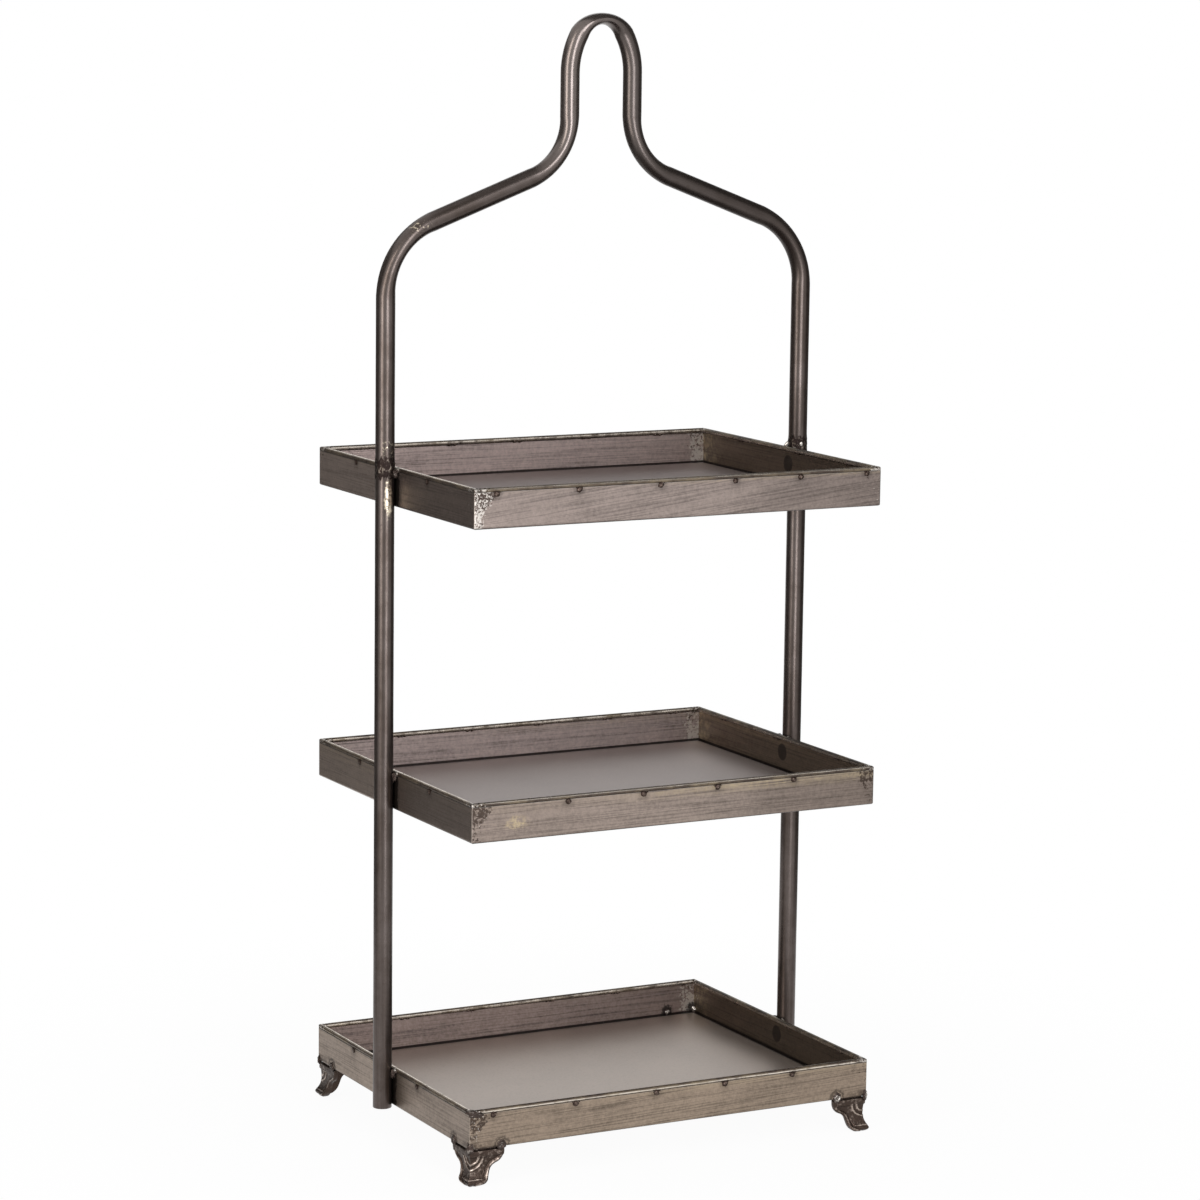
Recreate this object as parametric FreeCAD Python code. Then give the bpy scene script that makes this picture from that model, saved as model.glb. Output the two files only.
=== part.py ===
import FreeCAD, Part
from FreeCAD import Vector
import math
import os

# A welded steel etagere: shallow rectangular trays hang between two round uprights, which
# carry a bent arch with a bottle-necked handle. The lowest tray stands on cast bracket feet.
#
# Millimetres. +X along the trays' long side, +Y to the back, +Z up.
# The origin is on the ground, under the middle of the trays.

# ---------------------------------------------------------------- driving dimensions

# Trays
TRAY_NAMES = ("lower", "middle", "upper")
TRAY_LENGTH = 445.0        # outside, along X
TRAY_DEPTH = 356.0         # outside, along Y
TRAY_HEIGHT = 39.0         # underside of the flange to the top of the rim bar
TRAY_PITCH = 300.0
SHEET = 1.2
BEND_RADIUS = 1.2          # inside radius of the fold between wall and flange
FLANGE_REACH = 14.0        # outer face of the wall to the inner edge of the flange
FLOOR_GAP = 0.6            # open seam between the folds and the floor panel
CORNER_ROUND = 1.2         # vertical corners, ground after welding
RIM_DIAMETER = 4.8
SEAT_DROP = 1.6            # centre of the rim bar down to the sheet's cut edge

# Frame
TUBE_DIAMETER = 19.0
TUBE_WALL = 1.6
TUBE_OVERHANG = 1.5        # open lower end, below the lower tray's underside
SHOULDER_HEIGHT = 893.0    # where the centrelines of upright and shoulder would cross
SHOULDER_SLOPE = 20.7      # degrees above level
SHOULDER_RADIUS = 75.0
NECK_RADIUS = 63.5
NECK_HALF_WIDTH = 34.6     # between centrelines
LOOP_START = 1054.0        # top of the straight neck legs
LOOP_SIDE_RADIUS = 77.0
LOOP_SIDE_TURN = 30.0      # degrees, before the tight bend over the top
LOOP_FLATTENING = 0.4      # share of its thickness that the tube loses over the top
LOOP_TOP_STEPS = 4         # sections over the top, about 15 mm apart
LEAST_OVALITY = 0.0001     # keeps each section an ellipse, with its long axis along Y
BORE_SIDES = 8             # the closed bore is plain: flats with the round bore's area
BORE_BEND_STEP = 12.0      # degrees between its sections in a bend
BUTT_BEVEL = 1.5           # weld preparation where the arch meets the uprights
BUTT_LAND = 0.6
FUSE_TOLERANCE = 0.01

# Feet
FOOT_HEIGHT = 36.0
FOOT_WING = 38.0           # length of each wing, from the tray's corner
FOOT_BACK = 5.2            # inner face of a wing, behind the tray's outer face
BAND_HEIGHT = 7.5          # plain band along the top of the casting
BAND_INSET = 1.0
BAND_BEVEL = 0.8
WAIST_INSET = 2.6
TOE_FLARE = 2.4            # how far the toe stands out past the tray
TOE_HEIGHT = 3.6           # centre of the toe's nose above the ground
ANKLE_HEIGHT = 7.0
ANKLE_FLARE = 0.6
SOLE = (0.8, 4.6)          # front and back edge of the flat sole, behind the tray's face
OGEE_EDGE = 4.0            # upright end of the wing, above the ogee
OGEE_SHOULDER = (12.0, 72.0)    # radius and turn in degrees
OGEE_LEDGE = 2.0
OGEE_HOLLOW = (11.0, 45.0)
OGEE_LEG = 8.0

# Weld beads
TUBE_BEAD_LENGTH = 9.0
TUBE_BEAD_RISE = 1.2       # its top above the centre of the rim bar
TUBE_BEAD_ROOT = 3.5       # from the tube's axis along the wall, where the bead starts
TUBE_BEAD_TOE = 9.5        # where it ends
TUBE_BEAD_CLIMB = 50.0     # degrees round the tube, from its contact with the wall
FOOT_BEAD_REACH = 34.5     # along the wing, from the tray's corner
FOOT_BEAD_WIDTH = 11.0
FOOT_BEAD_HEIGHT = 10.0
FOOT_BEAD_CROWN = 1.4      # how far it stands out past the tray
CORNER_BEAD_DEPTH = 3.1    # its back plane, inwards along the diagonal
BEAD_SIDES = 8
BEAD_TAPER = 0.5           # size at the crown, over that at the back
BEAD_BACK = 1.1            # a bead ends within the sheet, this far behind its outer face

# ---------------------------------------------------------------- derived dimensions

HALF_LENGTH = TRAY_LENGTH / 2
HALF_DEPTH = TRAY_DEPTH / 2
RIM_RADIUS = RIM_DIAMETER / 2
RIM_CENTRE = TRAY_HEIGHT - RIM_RADIUS
TUBE_RADIUS = TUBE_DIAMETER / 2
UPRIGHT_X = HALF_LENGTH + TUBE_RADIUS
TRAY_BASES = {name: FOOT_HEIGHT + i * TRAY_PITCH for i, name in enumerate(TRAY_NAMES)}
UPRIGHT_BOTTOM = FOOT_HEIGHT - TUBE_OVERHANG
UPRIGHT_TOP = TRAY_BASES["upper"] + TRAY_HEIGHT
UP = Vector(0, 0, 1)

# Each side of a tray: its quarter turn from the front, its half length and its distance
# from the middle.
SIDES = {
    "front": (0, HALF_LENGTH, HALF_DEPTH),
    "right": (90, HALF_DEPTH, HALF_LENGTH),
    "back": (180, HALF_LENGTH, HALF_DEPTH),
    "left": (270, HALF_DEPTH, HALF_LENGTH),
}

# Each corner: the quarter turn from the front left one, and where it is.
CORNERS = {
    "front_left": (0, Vector(-HALF_LENGTH, -HALF_DEPTH, 0)),
    "front_right": (90, Vector(HALF_LENGTH, -HALF_DEPTH, 0)),
    "back_right": (180, Vector(HALF_LENGTH, HALF_DEPTH, 0)),
    "back_left": (270, Vector(-HALF_LENGTH, HALF_DEPTH, 0)),
}

# ---------------------------------------------------------------- helpers


def heading_vector(degrees):
    """Unit vector in the XZ plane, turned from +Z towards +X."""
    angle = math.radians(degrees)
    return Vector(math.sin(angle), 0, math.cos(angle))


def bend_points(start, heading, radius, turn):
    """Pivot, middle and end of a tangent arc; a positive turn goes from +Z towards +X."""
    side = math.copysign(90, turn)
    pivot = start + heading_vector(heading + side) * radius
    middle = pivot - heading_vector(heading + side + turn / 2) * radius
    end = pivot - heading_vector(heading + side + turn) * radius
    return pivot, middle, end


def face_of(edges):
    return Part.Face(Part.Wire([edge.toShape() for edge in edges]))


def polygon_face(points):
    return Part.Face(Part.makePolygon(points + [points[0]]))


def ring_points(centre, half_u, half_v, sides):
    """Corners of a polygon on the ellipse of the two given half axes."""
    points = []
    for i in range(sides):
        angle = 2 * math.pi * (i + 0.5) / sides
        points.append(centre + half_u * math.cos(angle) + half_v * math.sin(angle))
    return points


def frustum(base, top):
    """Solid between two parallel polygons of the same proportions."""
    faces = [polygon_face(base), polygon_face(top)]
    for i in range(len(base)):
        faces.append(polygon_face([base[i - 1], base[i], top[i], top[i - 1]]))
    return Part.Solid(Part.Shell(faces))


def spun(shape, degrees):
    """A copy turned about the vertical axis through the origin."""
    turned = shape.copy()
    turned.rotate(Vector(), UP, degrees)
    return turned


def moved(shape, offset):
    shape = shape.copy()
    shape.translate(offset)
    return shape


# ---------------------------------------------------------------- trays


def wall_profile(outer_y):
    """Section of a tray's side: upright wall, rolled fold and inward flange."""
    fold = BEND_RADIUS + SHEET
    top = RIM_CENTRE - SEAT_DROP
    centre = Vector(0, outer_y + fold, fold)
    slant = Vector(0, -math.sqrt(0.5), -math.sqrt(0.5))
    outer_top = Vector(0, outer_y, top)
    outer_fold = Vector(0, outer_y, fold)
    underside = Vector(0, outer_y + fold, 0)
    flange_low = Vector(0, outer_y + FLANGE_REACH, 0)
    flange_high = Vector(0, outer_y + FLANGE_REACH, SHEET)
    upper_side = Vector(0, outer_y + fold, SHEET)
    inner_fold = Vector(0, outer_y + SHEET, fold)
    inner_top = Vector(0, outer_y + SHEET, top)
    return face_of([
        Part.LineSegment(outer_top, outer_fold),
        Part.Arc(outer_fold, centre + slant * fold, underside),
        Part.LineSegment(underside, flange_low),
        Part.LineSegment(flange_low, flange_high),
        Part.LineSegment(flange_high, upper_side),
        Part.Arc(upper_side, centre + slant * BEND_RADIUS, inner_fold),
        Part.LineSegment(inner_fold, inner_top),
        Part.LineSegment(inner_top, outer_top),
    ])


def mitre_block(half_length, distance):
    """The share of a tray's outline that belongs to its front side, cut at 45 degrees."""
    reach = FLANGE_REACH + 1
    wedge = polygon_face([
        Vector(-half_length, -distance, 0),
        Vector(half_length, -distance, 0),
        Vector(half_length - reach, -distance + reach, 0),
        Vector(-half_length + reach, -distance + reach, 0),
    ]).extrude(UP * TRAY_HEIGHT)
    low_corner = Vector(-half_length, -distance, 0)
    outline = Part.makeBox(2 * half_length, 2 * distance, TRAY_HEIGHT, low_corner)
    verticals = [edge for edge in outline.Edges if edge.BoundBox.ZLength > SHEET]
    return wedge.common(outline.makeFillet(CORNER_ROUND, verticals))


def rim_bar(half_length, distance):
    """Round bar along the top of a side, mitred at both ends."""
    start = Vector(-half_length, -distance + RIM_RADIUS, RIM_CENTRE)
    bar = Part.makeCylinder(RIM_RADIUS, 2 * half_length, start, Vector(1, 0, 0))
    return bar.common(mitre_block(half_length, distance))


def side_wall(half_length, distance):
    """Folded sheet with mitred ends, its top edge coped to seat under the rim bar."""
    sheet = wall_profile(-distance).extrude(Vector(2 * half_length, 0, 0))
    sheet.translate(Vector(-half_length, 0, 0))
    mitred = sheet.common(mitre_block(half_length, distance))
    return mitred.cut(rim_bar(half_length, distance))


def floor_panel():
    """Flat sheet on the flanges, just clear of the folds."""
    inset = SHEET + BEND_RADIUS + FLOOR_GAP
    low_corner = Vector(inset - HALF_LENGTH, inset - HALF_DEPTH, SHEET)
    return Part.makeBox(TRAY_LENGTH - 2 * inset, TRAY_DEPTH - 2 * inset, SHEET, low_corner)


# ---------------------------------------------------------------- frame


def oval_axes(heading, inset, flattening):
    """Half axes of the tube's section, flattened in the bend's plane at the same girth."""
    squash = 1 - max(flattening, LEAST_OVALITY)
    broad = Vector(0, TUBE_RADIUS * math.sqrt(2 - squash ** 2) - inset, 0)
    thin = heading_vector(heading + 90) * (TUBE_RADIUS * squash - inset)
    return broad, thin


def tube_section(centre, heading, flattening):
    broad, thin = oval_axes(heading, 0, flattening)
    return Part.Wire([Part.Ellipse(centre + broad, centre + thin, centre).toShape()])


def bore_section(centre, heading, flattening):
    broad, thin = oval_axes(heading, TUBE_WALL, flattening)
    step = 2 * math.pi / BORE_SIDES
    same_area = math.sqrt(step / math.sin(step))
    corners = ring_points(centre, broad * same_area, thin * same_area, BORE_SIDES)
    return Part.makePolygon(corners + [corners[0]])


def half_path():
    """Straight runs and bends from the left upright to the middle of the handle's top.

    Each is its start, its heading, its length, its bend radius (None if straight), its turn
    and its end.
    """
    shoulder_turn = 90 - SHOULDER_SLOPE
    cut_back = math.tan(math.radians(shoulder_turn / 2))
    slope = math.radians(SHOULDER_SLOPE)
    span = (UPRIGHT_X - NECK_HALF_WIDTH) / math.cos(slope)
    neck_root = SHOULDER_HEIGHT + span * math.sin(slope)
    leg = SHOULDER_HEIGHT - UPRIGHT_TOP - SHOULDER_RADIUS * cut_back
    shoulder = span - (SHOULDER_RADIUS + NECK_RADIUS) * cut_back
    neck = LOOP_START - neck_root - NECK_RADIUS * cut_back
    loop_side = LOOP_SIDE_RADIUS * (1 - math.cos(math.radians(LOOP_SIDE_TURN)))
    top_radius = (NECK_HALF_WIDTH - loop_side) / math.cos(math.radians(LOOP_SIDE_TURN))

    runs = []
    place = Vector(-UPRIGHT_X, 0, UPRIGHT_TOP)
    heading = 0
    for length, radius, turn in (
        (leg, None, 0),
        (0, SHOULDER_RADIUS, shoulder_turn),
        (shoulder, None, 0),
        (0, NECK_RADIUS, -shoulder_turn),
        (neck, None, 0),
        (0, LOOP_SIDE_RADIUS, LOOP_SIDE_TURN),
        (0, top_radius, 90 - LOOP_SIDE_TURN),
    ):
        end = run_end(place, heading, length, radius, turn)
        runs.append((place, heading, length, radius, turn, end))
        place = end
        heading += turn
    return runs


def run_end(start, heading, length, radius, turn):
    if radius:
        return bend_points(start, heading, radius, turn)[2]
    return start + heading_vector(heading) * length


def mirrored(shape):
    return shape.mirror(Vector(), Vector(1, 0, 0))


def top_flattening(turned):
    """Share of its thickness that the tube has lost at this point of the handle's top."""
    return LOOP_FLATTENING * math.sin(math.radians(90 * turned / (90 - LOOP_SIDE_TURN)))


def arch_bar():
    """The arch as one solid bar: runs and bends of one section, and the flattened top."""
    half = []
    *runs, (top_start, top_heading, _, top_radius, top_turn, _) = half_path()
    for start, heading, length, radius, turn, _ in runs:
        along = heading_vector(heading)
        if radius:
            section = face_of([Part.Circle(start, along, TUBE_RADIUS)])
            pivot = bend_points(start, heading, radius, turn)[0]
            half.append(section.revolve(pivot, Vector(0, 1, 0), turn))
        else:
            half.append(Part.makeCylinder(TUBE_RADIUS, length, start, along))

    sections = []
    for i in range(LOOP_TOP_STEPS + 1):
        turned = 2 * top_turn * i / LOOP_TOP_STEPS
        place = run_end(top_start, top_heading, 0, top_radius, turned)
        flattening = top_flattening(turned if turned < top_turn else 2 * top_turn - turned)
        sections.append(tube_section(place, top_heading + turned, flattening))
    top = Part.makeLoft(sections, True)
    other_half = [mirrored(piece) for piece in half]
    return top.multiFuse(half + other_half, FUSE_TOLERANCE).Solids[0]


def arch_bore():
    """The bore, from one open end of the arch to the other."""
    sections = []
    for start, heading, length, radius, turn, end in half_path():
        steps = max(1, round(abs(turn) / BORE_BEND_STEP))
        is_top = radius and heading == LOOP_SIDE_TURN
        for i in range(steps):
            turned = turn * i / steps
            place = run_end(start, heading, length * i / steps, radius, turned)
            flattening = top_flattening(turned) if is_top else 0
            sections.append(bore_section(place, heading + turned, flattening))
    summit = bore_section(half_path()[-1][-1], 90, LOOP_FLATTENING)
    other_half = [mirrored(section) for section in reversed(sections)]
    return Part.makeLoft(sections + [summit] + other_half, True, True)


def joint_ring(x):
    """Butt weld that fills the groove between upright and arch, ground flush."""
    root = Vector(TUBE_RADIUS - TUBE_WALL + BUTT_LAND, 0, 0)
    low = Vector(TUBE_RADIUS, 0, -BUTT_BEVEL)
    high = Vector(TUBE_RADIUS, 0, BUTT_BEVEL)
    ring = polygon_face([root, low, high]).revolve(Vector(), UP, 360)
    return moved(ring, Vector(x, 0, UPRIGHT_TOP))


def upright(x):
    """Straight tube, open at the bottom and bevelled for the weld at the top."""
    length = UPRIGHT_TOP - UPRIGHT_BOTTOM
    lower_end = Vector(x, 0, UPRIGHT_BOTTOM)
    bar = Part.makeCylinder(TUBE_RADIUS, length, lower_end)
    bore = Part.makeCylinder(TUBE_RADIUS - TUBE_WALL, length, lower_end)
    return bar.cut(bore).cut(joint_ring(x))


def handle_arch():
    tube = arch_bar().cut(arch_bore())
    return tube.cut(joint_ring(-UPRIGHT_X)).cut(joint_ring(UPRIGHT_X))


# ---------------------------------------------------------------- feet


def foot_profile():
    """Section of a wing: bevelled band, hollow waist, and a toe over a flat sole."""
    waist_top = FOOT_HEIGHT - BAND_HEIGHT
    step = (WAIST_INSET - BAND_INSET) / 2
    sole_front, sole_back = SOLE
    back_top = Vector(0, FOOT_BACK, FOOT_HEIGHT)
    bevel_high = Vector(0, BAND_INSET + BAND_BEVEL, FOOT_HEIGHT)
    bevel_low = Vector(0, BAND_INSET, FOOT_HEIGHT - BAND_BEVEL)
    band_low = Vector(0, BAND_INSET, waist_top)
    waist_high = Vector(0, BAND_INSET + step, waist_top - step)
    waist = Vector(0, WAIST_INSET, FOOT_HEIGHT / 2)
    ankle = Vector(0, -ANKLE_FLARE, ANKLE_HEIGHT)
    nose = Vector(0, -TOE_FLARE, TOE_HEIGHT)
    sole_outer = Vector(0, sole_front, 0)
    sole_inner = Vector(0, sole_back, 0)
    back_waist = Vector(0, FOOT_BACK + BAND_INSET, FOOT_HEIGHT / 3)
    back_band = Vector(0, FOOT_BACK, waist_top)
    return face_of([
        Part.LineSegment(back_top, bevel_high),
        Part.LineSegment(bevel_high, bevel_low),
        Part.LineSegment(bevel_low, band_low),
        Part.LineSegment(band_low, waist_high),
        Part.Arc(waist_high, waist, ankle),
        Part.Arc(ankle, nose, sole_outer),
        Part.LineSegment(sole_outer, sole_inner),
        Part.LineSegment(sole_inner, back_waist),
        Part.LineSegment(back_waist, back_band),
        Part.LineSegment(back_band, back_top),
    ])


def ogee_outline():
    """Outline of a wing seen square on: upright end, ogee and rounded toe."""
    overrun = 2 * TOE_FLARE
    shoulder_turn = OGEE_SHOULDER[1]
    leg_slant = shoulder_turn - OGEE_HOLLOW[1]
    edges = []
    place = Vector(FOOT_WING, 0, FOOT_HEIGHT)
    heading = 180
    for length, radius, turn in (
        (OGEE_EDGE, OGEE_SHOULDER[0], shoulder_turn),
        (OGEE_LEDGE, OGEE_HOLLOW[0], leg_slant - shoulder_turn),
        (OGEE_LEG, None, 90 - leg_slant),
    ):
        corner = place + heading_vector(heading) * length
        radius = radius or corner.z / (1 - math.sin(math.radians(leg_slant)))
        _, middle, end = bend_points(corner, heading, radius, turn)
        edges += [Part.LineSegment(place, corner), Part.Arc(corner, middle, end)]
        place = end
        heading += turn
    ground = Vector(-overrun, 0, 0)
    top = Vector(-overrun, 0, FOOT_HEIGHT)
    edges += [
        Part.LineSegment(place, ground),
        Part.LineSegment(ground, top),
        Part.LineSegment(top, Vector(FOOT_WING, 0, FOOT_HEIGHT)),
    ]
    return face_of(edges)


def corner_foot():
    """Cast bracket foot under a tray corner at the origin, its wings along +X and +Y."""
    overrun = 2 * TOE_FLARE
    length = FOOT_WING + overrun
    moulding = moved(foot_profile().extrude(Vector(length, 0, 0)), Vector(-overrun, 0, 0))
    silhouette = ogee_outline().extrude(Vector(0, 4 * FOOT_BACK, 0))
    silhouette.translate(Vector(0, -2 * FOOT_BACK, 0))
    front_share = polygon_face([
        Vector(-overrun, -overrun, 0),
        Vector(length, -overrun, 0),
        Vector(length, length, 0),
    ]).extrude(UP * FOOT_HEIGHT)
    wing = moulding.common(silhouette).common(front_share)
    return wing.fuse(wing.mirror(Vector(), Vector(1, -1, 0))).removeSplitter()


# ---------------------------------------------------------------- weld beads


def tube_bead(tube_x):
    """Fillet in the wedge between the right upright, at tube_x, and the tray's wall."""
    climb = math.radians(TUBE_BEAD_CLIMB)
    wall_x = tube_x - TUBE_RADIUS
    section = polygon_face([
        Vector(wall_x, TUBE_BEAD_ROOT, 0),
        Vector(wall_x, TUBE_BEAD_TOE, 0),
        Vector(tube_x - TUBE_RADIUS * math.cos(climb), TUBE_RADIUS * math.sin(climb), 0),
        Vector(tube_x, 0, 0),
    ])
    tube = Part.makeCylinder(TUBE_RADIUS, TUBE_BEAD_LENGTH, Vector(tube_x, 0, 0))
    return section.extrude(UP * TUBE_BEAD_LENGTH).cut(tube)


def tube_beads(base, tray_sides):
    """The four fillets where the uprights meet the top of a tray."""
    level = base + RIM_CENTRE + TUBE_BEAD_RISE - TUBE_BEAD_LENGTH
    right = moved(tube_bead(UPRIGHT_X), UP * level)
    pair = [right, right.mirror(Vector(), Vector(0, 1, 0))]
    beads = pair + [mirrored(bead) for bead in pair]
    return Part.Compound([bead.cut(tray_sides) for bead in beads])


def foot_bead(spot, outward, depth):
    """Low many-sided mound over the seam; its back plane lies inwards by the depth."""
    along = outward.cross(UP) * FOOT_BEAD_WIDTH / 2
    upward = UP * FOOT_BEAD_HEIGHT / 2
    back = ring_points(spot - outward * depth, along, upward, BEAD_SIDES)
    crown_spot = spot + outward * FOOT_BEAD_CROWN
    crown = ring_points(crown_spot, along * BEAD_TAPER, upward * BEAD_TAPER, BEAD_SIDES)
    return frustum(back, crown)


def foot_beads(neighbours):
    """Three beads round each foot: one over the corner and one at the end of each wing."""
    diagonal = Vector(-math.sqrt(0.5), -math.sqrt(0.5), 0)
    mounds = [
        foot_bead(UP * FOOT_HEIGHT, diagonal, CORNER_BEAD_DEPTH),
        foot_bead(Vector(FOOT_BEAD_REACH, 0, FOOT_HEIGHT), Vector(0, -1, 0), BEAD_BACK),
        foot_bead(Vector(0, FOOT_BEAD_REACH, FOOT_HEIGHT), Vector(-1, 0, 0), BEAD_BACK),
    ]
    inside = Part.makeBox(
        2 * FOOT_WING, 2 * FOOT_WING, 2 * FOOT_HEIGHT, Vector(BEAD_BACK, BEAD_BACK, 0)
    )
    beads = []
    for turn, corner in CORNERS.values():
        for mound in mounds:
            bead = moved(spun(mound.cut(inside), turn), corner)
            beads.append(bead.cut(neighbours))
    return Part.Compound(beads)


# ---------------------------------------------------------------- assembly

nodes = {
    "left_upright": upright(-UPRIGHT_X),
    "right_upright": upright(UPRIGHT_X),
    "handle_arch": handle_arch(),
    "arch_butt_welds": Part.Compound([joint_ring(-UPRIGHT_X), joint_ring(UPRIGHT_X)]),
}

for tray, base in TRAY_BASES.items():
    level = Vector(0, 0, base)
    for side, (turn, half_length, distance) in SIDES.items():
        wall = spun(side_wall(half_length, distance), turn)
        bar = spun(rim_bar(half_length, distance), turn)
        nodes[tray + "_" + side + "_wall"] = moved(wall, level)
        nodes[tray + "_" + side + "_rim_bar"] = moved(bar, level)
    nodes[tray + "_floor"] = moved(floor_panel(), level)
    ends = [nodes[tray + end] for end in ("_left_wall", "_right_wall")]
    end_bars = [nodes[tray + end] for end in ("_left_rim_bar", "_right_rim_bar")]
    nodes[tray + "_tube_welds"] = tube_beads(base, ends + end_bars)

foot = corner_foot()
for corner_name, (turn, corner) in CORNERS.items():
    nodes[corner_name + "_foot"] = moved(spun(foot, turn), corner)
lower_walls = [nodes["lower_" + side + "_wall"] for side in SIDES]
feet = [nodes[corner_name + "_foot"] for corner_name in CORNERS]
nodes["foot_welds"] = foot_beads(lower_walls + feet)

os.makedirs("parts", exist_ok=True)
for name, shape in nodes.items():
    shape.exportStep("parts/" + name + ".step")
    print(name, shape.isValid(), len(shape.Solids), round(shape.Volume))
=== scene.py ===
# %% [markdown]
# # A welded tray stand with a bottle-necked handle
#
# The stand has three shallow trays of folded sheet steel, two round tubes that carry them, and a
# third tube, bent over the top, that is both brace and handle. Four small cast feet are welded
# under the lowest tray. The engineering model gives every size. This lesson keeps the folded
# sheet parts as they are, swaps the tubes, beads and castings for richer meshes, and gives each
# metal a finish made only of nodes.

# %% Load the frame
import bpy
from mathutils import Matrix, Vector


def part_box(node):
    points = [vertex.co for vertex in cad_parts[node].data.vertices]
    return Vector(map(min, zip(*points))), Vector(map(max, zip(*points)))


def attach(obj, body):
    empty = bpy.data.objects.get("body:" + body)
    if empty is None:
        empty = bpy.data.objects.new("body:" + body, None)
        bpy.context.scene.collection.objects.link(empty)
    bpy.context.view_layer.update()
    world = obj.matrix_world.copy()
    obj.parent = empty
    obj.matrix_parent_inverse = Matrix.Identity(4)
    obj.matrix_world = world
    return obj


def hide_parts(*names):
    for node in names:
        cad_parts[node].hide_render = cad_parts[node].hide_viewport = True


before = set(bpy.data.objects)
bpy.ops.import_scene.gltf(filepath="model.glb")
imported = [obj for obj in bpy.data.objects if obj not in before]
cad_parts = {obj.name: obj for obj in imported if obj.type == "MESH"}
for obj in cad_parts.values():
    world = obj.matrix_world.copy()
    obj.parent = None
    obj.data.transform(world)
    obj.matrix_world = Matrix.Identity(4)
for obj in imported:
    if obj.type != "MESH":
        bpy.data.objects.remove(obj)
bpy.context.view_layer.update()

import math

import bmesh
import bpy
from mathutils import Matrix, Vector, noise

print("nodes in the frame:", len(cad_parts))

# %% [markdown]
# ## Sizes that the pieces share
#
# Nothing is fitted by eye: the box of a node says where a real piece is. Corner posts, rims and
# tube axes are worked out once from those boxes, in metres, and used by every later step.

# %% Measure trays and tubes
MM = 0.001
TRAYS = ("lower", "middle", "upper")
SIDES = ("front", "right", "back", "left")
tray_base = {tray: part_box(f"{tray}_front_wall")[0].z for tray in TRAYS}
rim_top = {tray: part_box(f"{tray}_front_rim_bar")[1].z for tray in TRAYS}
half_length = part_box("lower_right_wall")[1].x
half_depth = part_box("lower_back_wall")[1].y
tube_low, tube_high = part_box("right_upright")
tube_radius = (tube_high.y - tube_low.y) / 2
tube_x = (tube_low.x + tube_high.x) / 2
tube_bottom = tube_low.z
joint_height = rim_top["upper"]
print("tray half size", half_length, half_depth, "tube", tube_x, tube_radius, tube_bottom)
print("trays from", tray_base, "to", rim_top)

# %% [markdown]
# ## Camera
#
# The stand is seen a little from its left and from just above its handle, with a long lens, so
# upright lines stay nearly parallel. The camera is placed by turning and tilting a line of sight
# that ends on the axis of the stand, then rolled by less than a degree.

# %% Place the camera
AIM = Vector((0, 0, 0.53))
TURN = math.radians(-27.87)
TILT = math.radians(9.05)
ROLL = math.radians(0.719)
DISTANCE = 4.0537
SENSOR_WIDTH = 36
FOCAL_LENGTH = 121.42
SIDE_SHIFT = 0.0043

back = Vector((math.sin(TURN) * math.cos(TILT), -math.cos(TURN) * math.cos(TILT), math.sin(TILT)))
level_right = Vector((math.cos(TURN), math.sin(TURN), 0))
level_up = back.cross(level_right)
right = level_right * math.cos(ROLL) + level_up * math.sin(ROLL)
turned_axes = Matrix((right, back.cross(right), back)).transposed().to_4x4()
lens = bpy.data.cameras.new("studio_camera")
lens.sensor_width = SENSOR_WIDTH
lens.lens = FOCAL_LENGTH
lens.shift_x = SIDE_SHIFT
camera = bpy.data.objects.new("studio_camera", lens)
camera.matrix_world = Matrix.Translation(AIM + back * DISTANCE) @ turned_axes
bpy.context.scene.collection.objects.link(camera)
bpy.context.scene.camera = camera
bpy.context.scene.view_settings.view_transform = "Standard"
print("camera at", tuple(round(v, 3) for v in camera.location))

# %% [markdown]
# ## Studio
#
# Polished and brushed metal shows its surroundings more than its own colour, so the studio is
# part of the finish. The world is white for the eye and for reflections, and half as strong for
# soft light. Two tall soft boxes make the two long highlights on the tubes. Four upright grey
# cards and a fifth one overhead, seen only by reflections, keep the outlines of the tubes and
# the insides of the trays dark, as in any studio for metalware. The pale floor keeps a
# faint shadow and turns white away from the stand.

# %% Helpers that add nodes
def is_socket(value):
    """Whether a value comes out of a node."""
    return isinstance(value, bpy.types.NodeSocket)


def add(tree, kind, inputs=None, **settings):
    """Add a node; inputs may be values or sockets of other nodes."""
    made = tree.nodes.new(kind)
    for name, value in settings.items():
        setattr(made, name, value)
    for name, value in (inputs or {}).items():
        if is_socket(value):
            tree.links.new(value, made.inputs[name])
        else:
            made.inputs[name].default_value = value
    return made


def beside(kind, inputs, **settings):
    """Add a node to the tree that its linked inputs come from."""
    tree = next(value.id_data for value in inputs.values() if is_socket(value))
    return add(tree, kind, inputs, **settings)


def maths(operation, *values):
    """One Math node; gives its output socket."""
    return beside("ShaderNodeMath", dict(enumerate(values)), operation=operation).outputs[0]


def times(first, *others):
    """Product of masks and numbers."""
    for other in others:
        first = maths("MULTIPLY", first, other)
    return first


def plus(first, *others):
    """Sum of masks and numbers."""
    for other in others:
        first = maths("ADD", first, other)
    return first


def minus(first, second):
    """Difference of two masks or numbers."""
    return maths("SUBTRACT", first, second)


def most(first, *others):
    """Largest of several masks."""
    for other in others:
        first = maths("MAXIMUM", first, other)
    return first


def ramp(value, low, high, out_low=0.0, out_high=1.0):
    """Smoothly map value from low..high to out_low..out_high."""
    return beside("ShaderNodeMapRange", {
        "Value": value, "From Min": low, "From Max": high, "To Min": out_low, "To Max": out_high,
    }, interpolation_type="SMOOTHSTEP").outputs["Result"]


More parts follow.
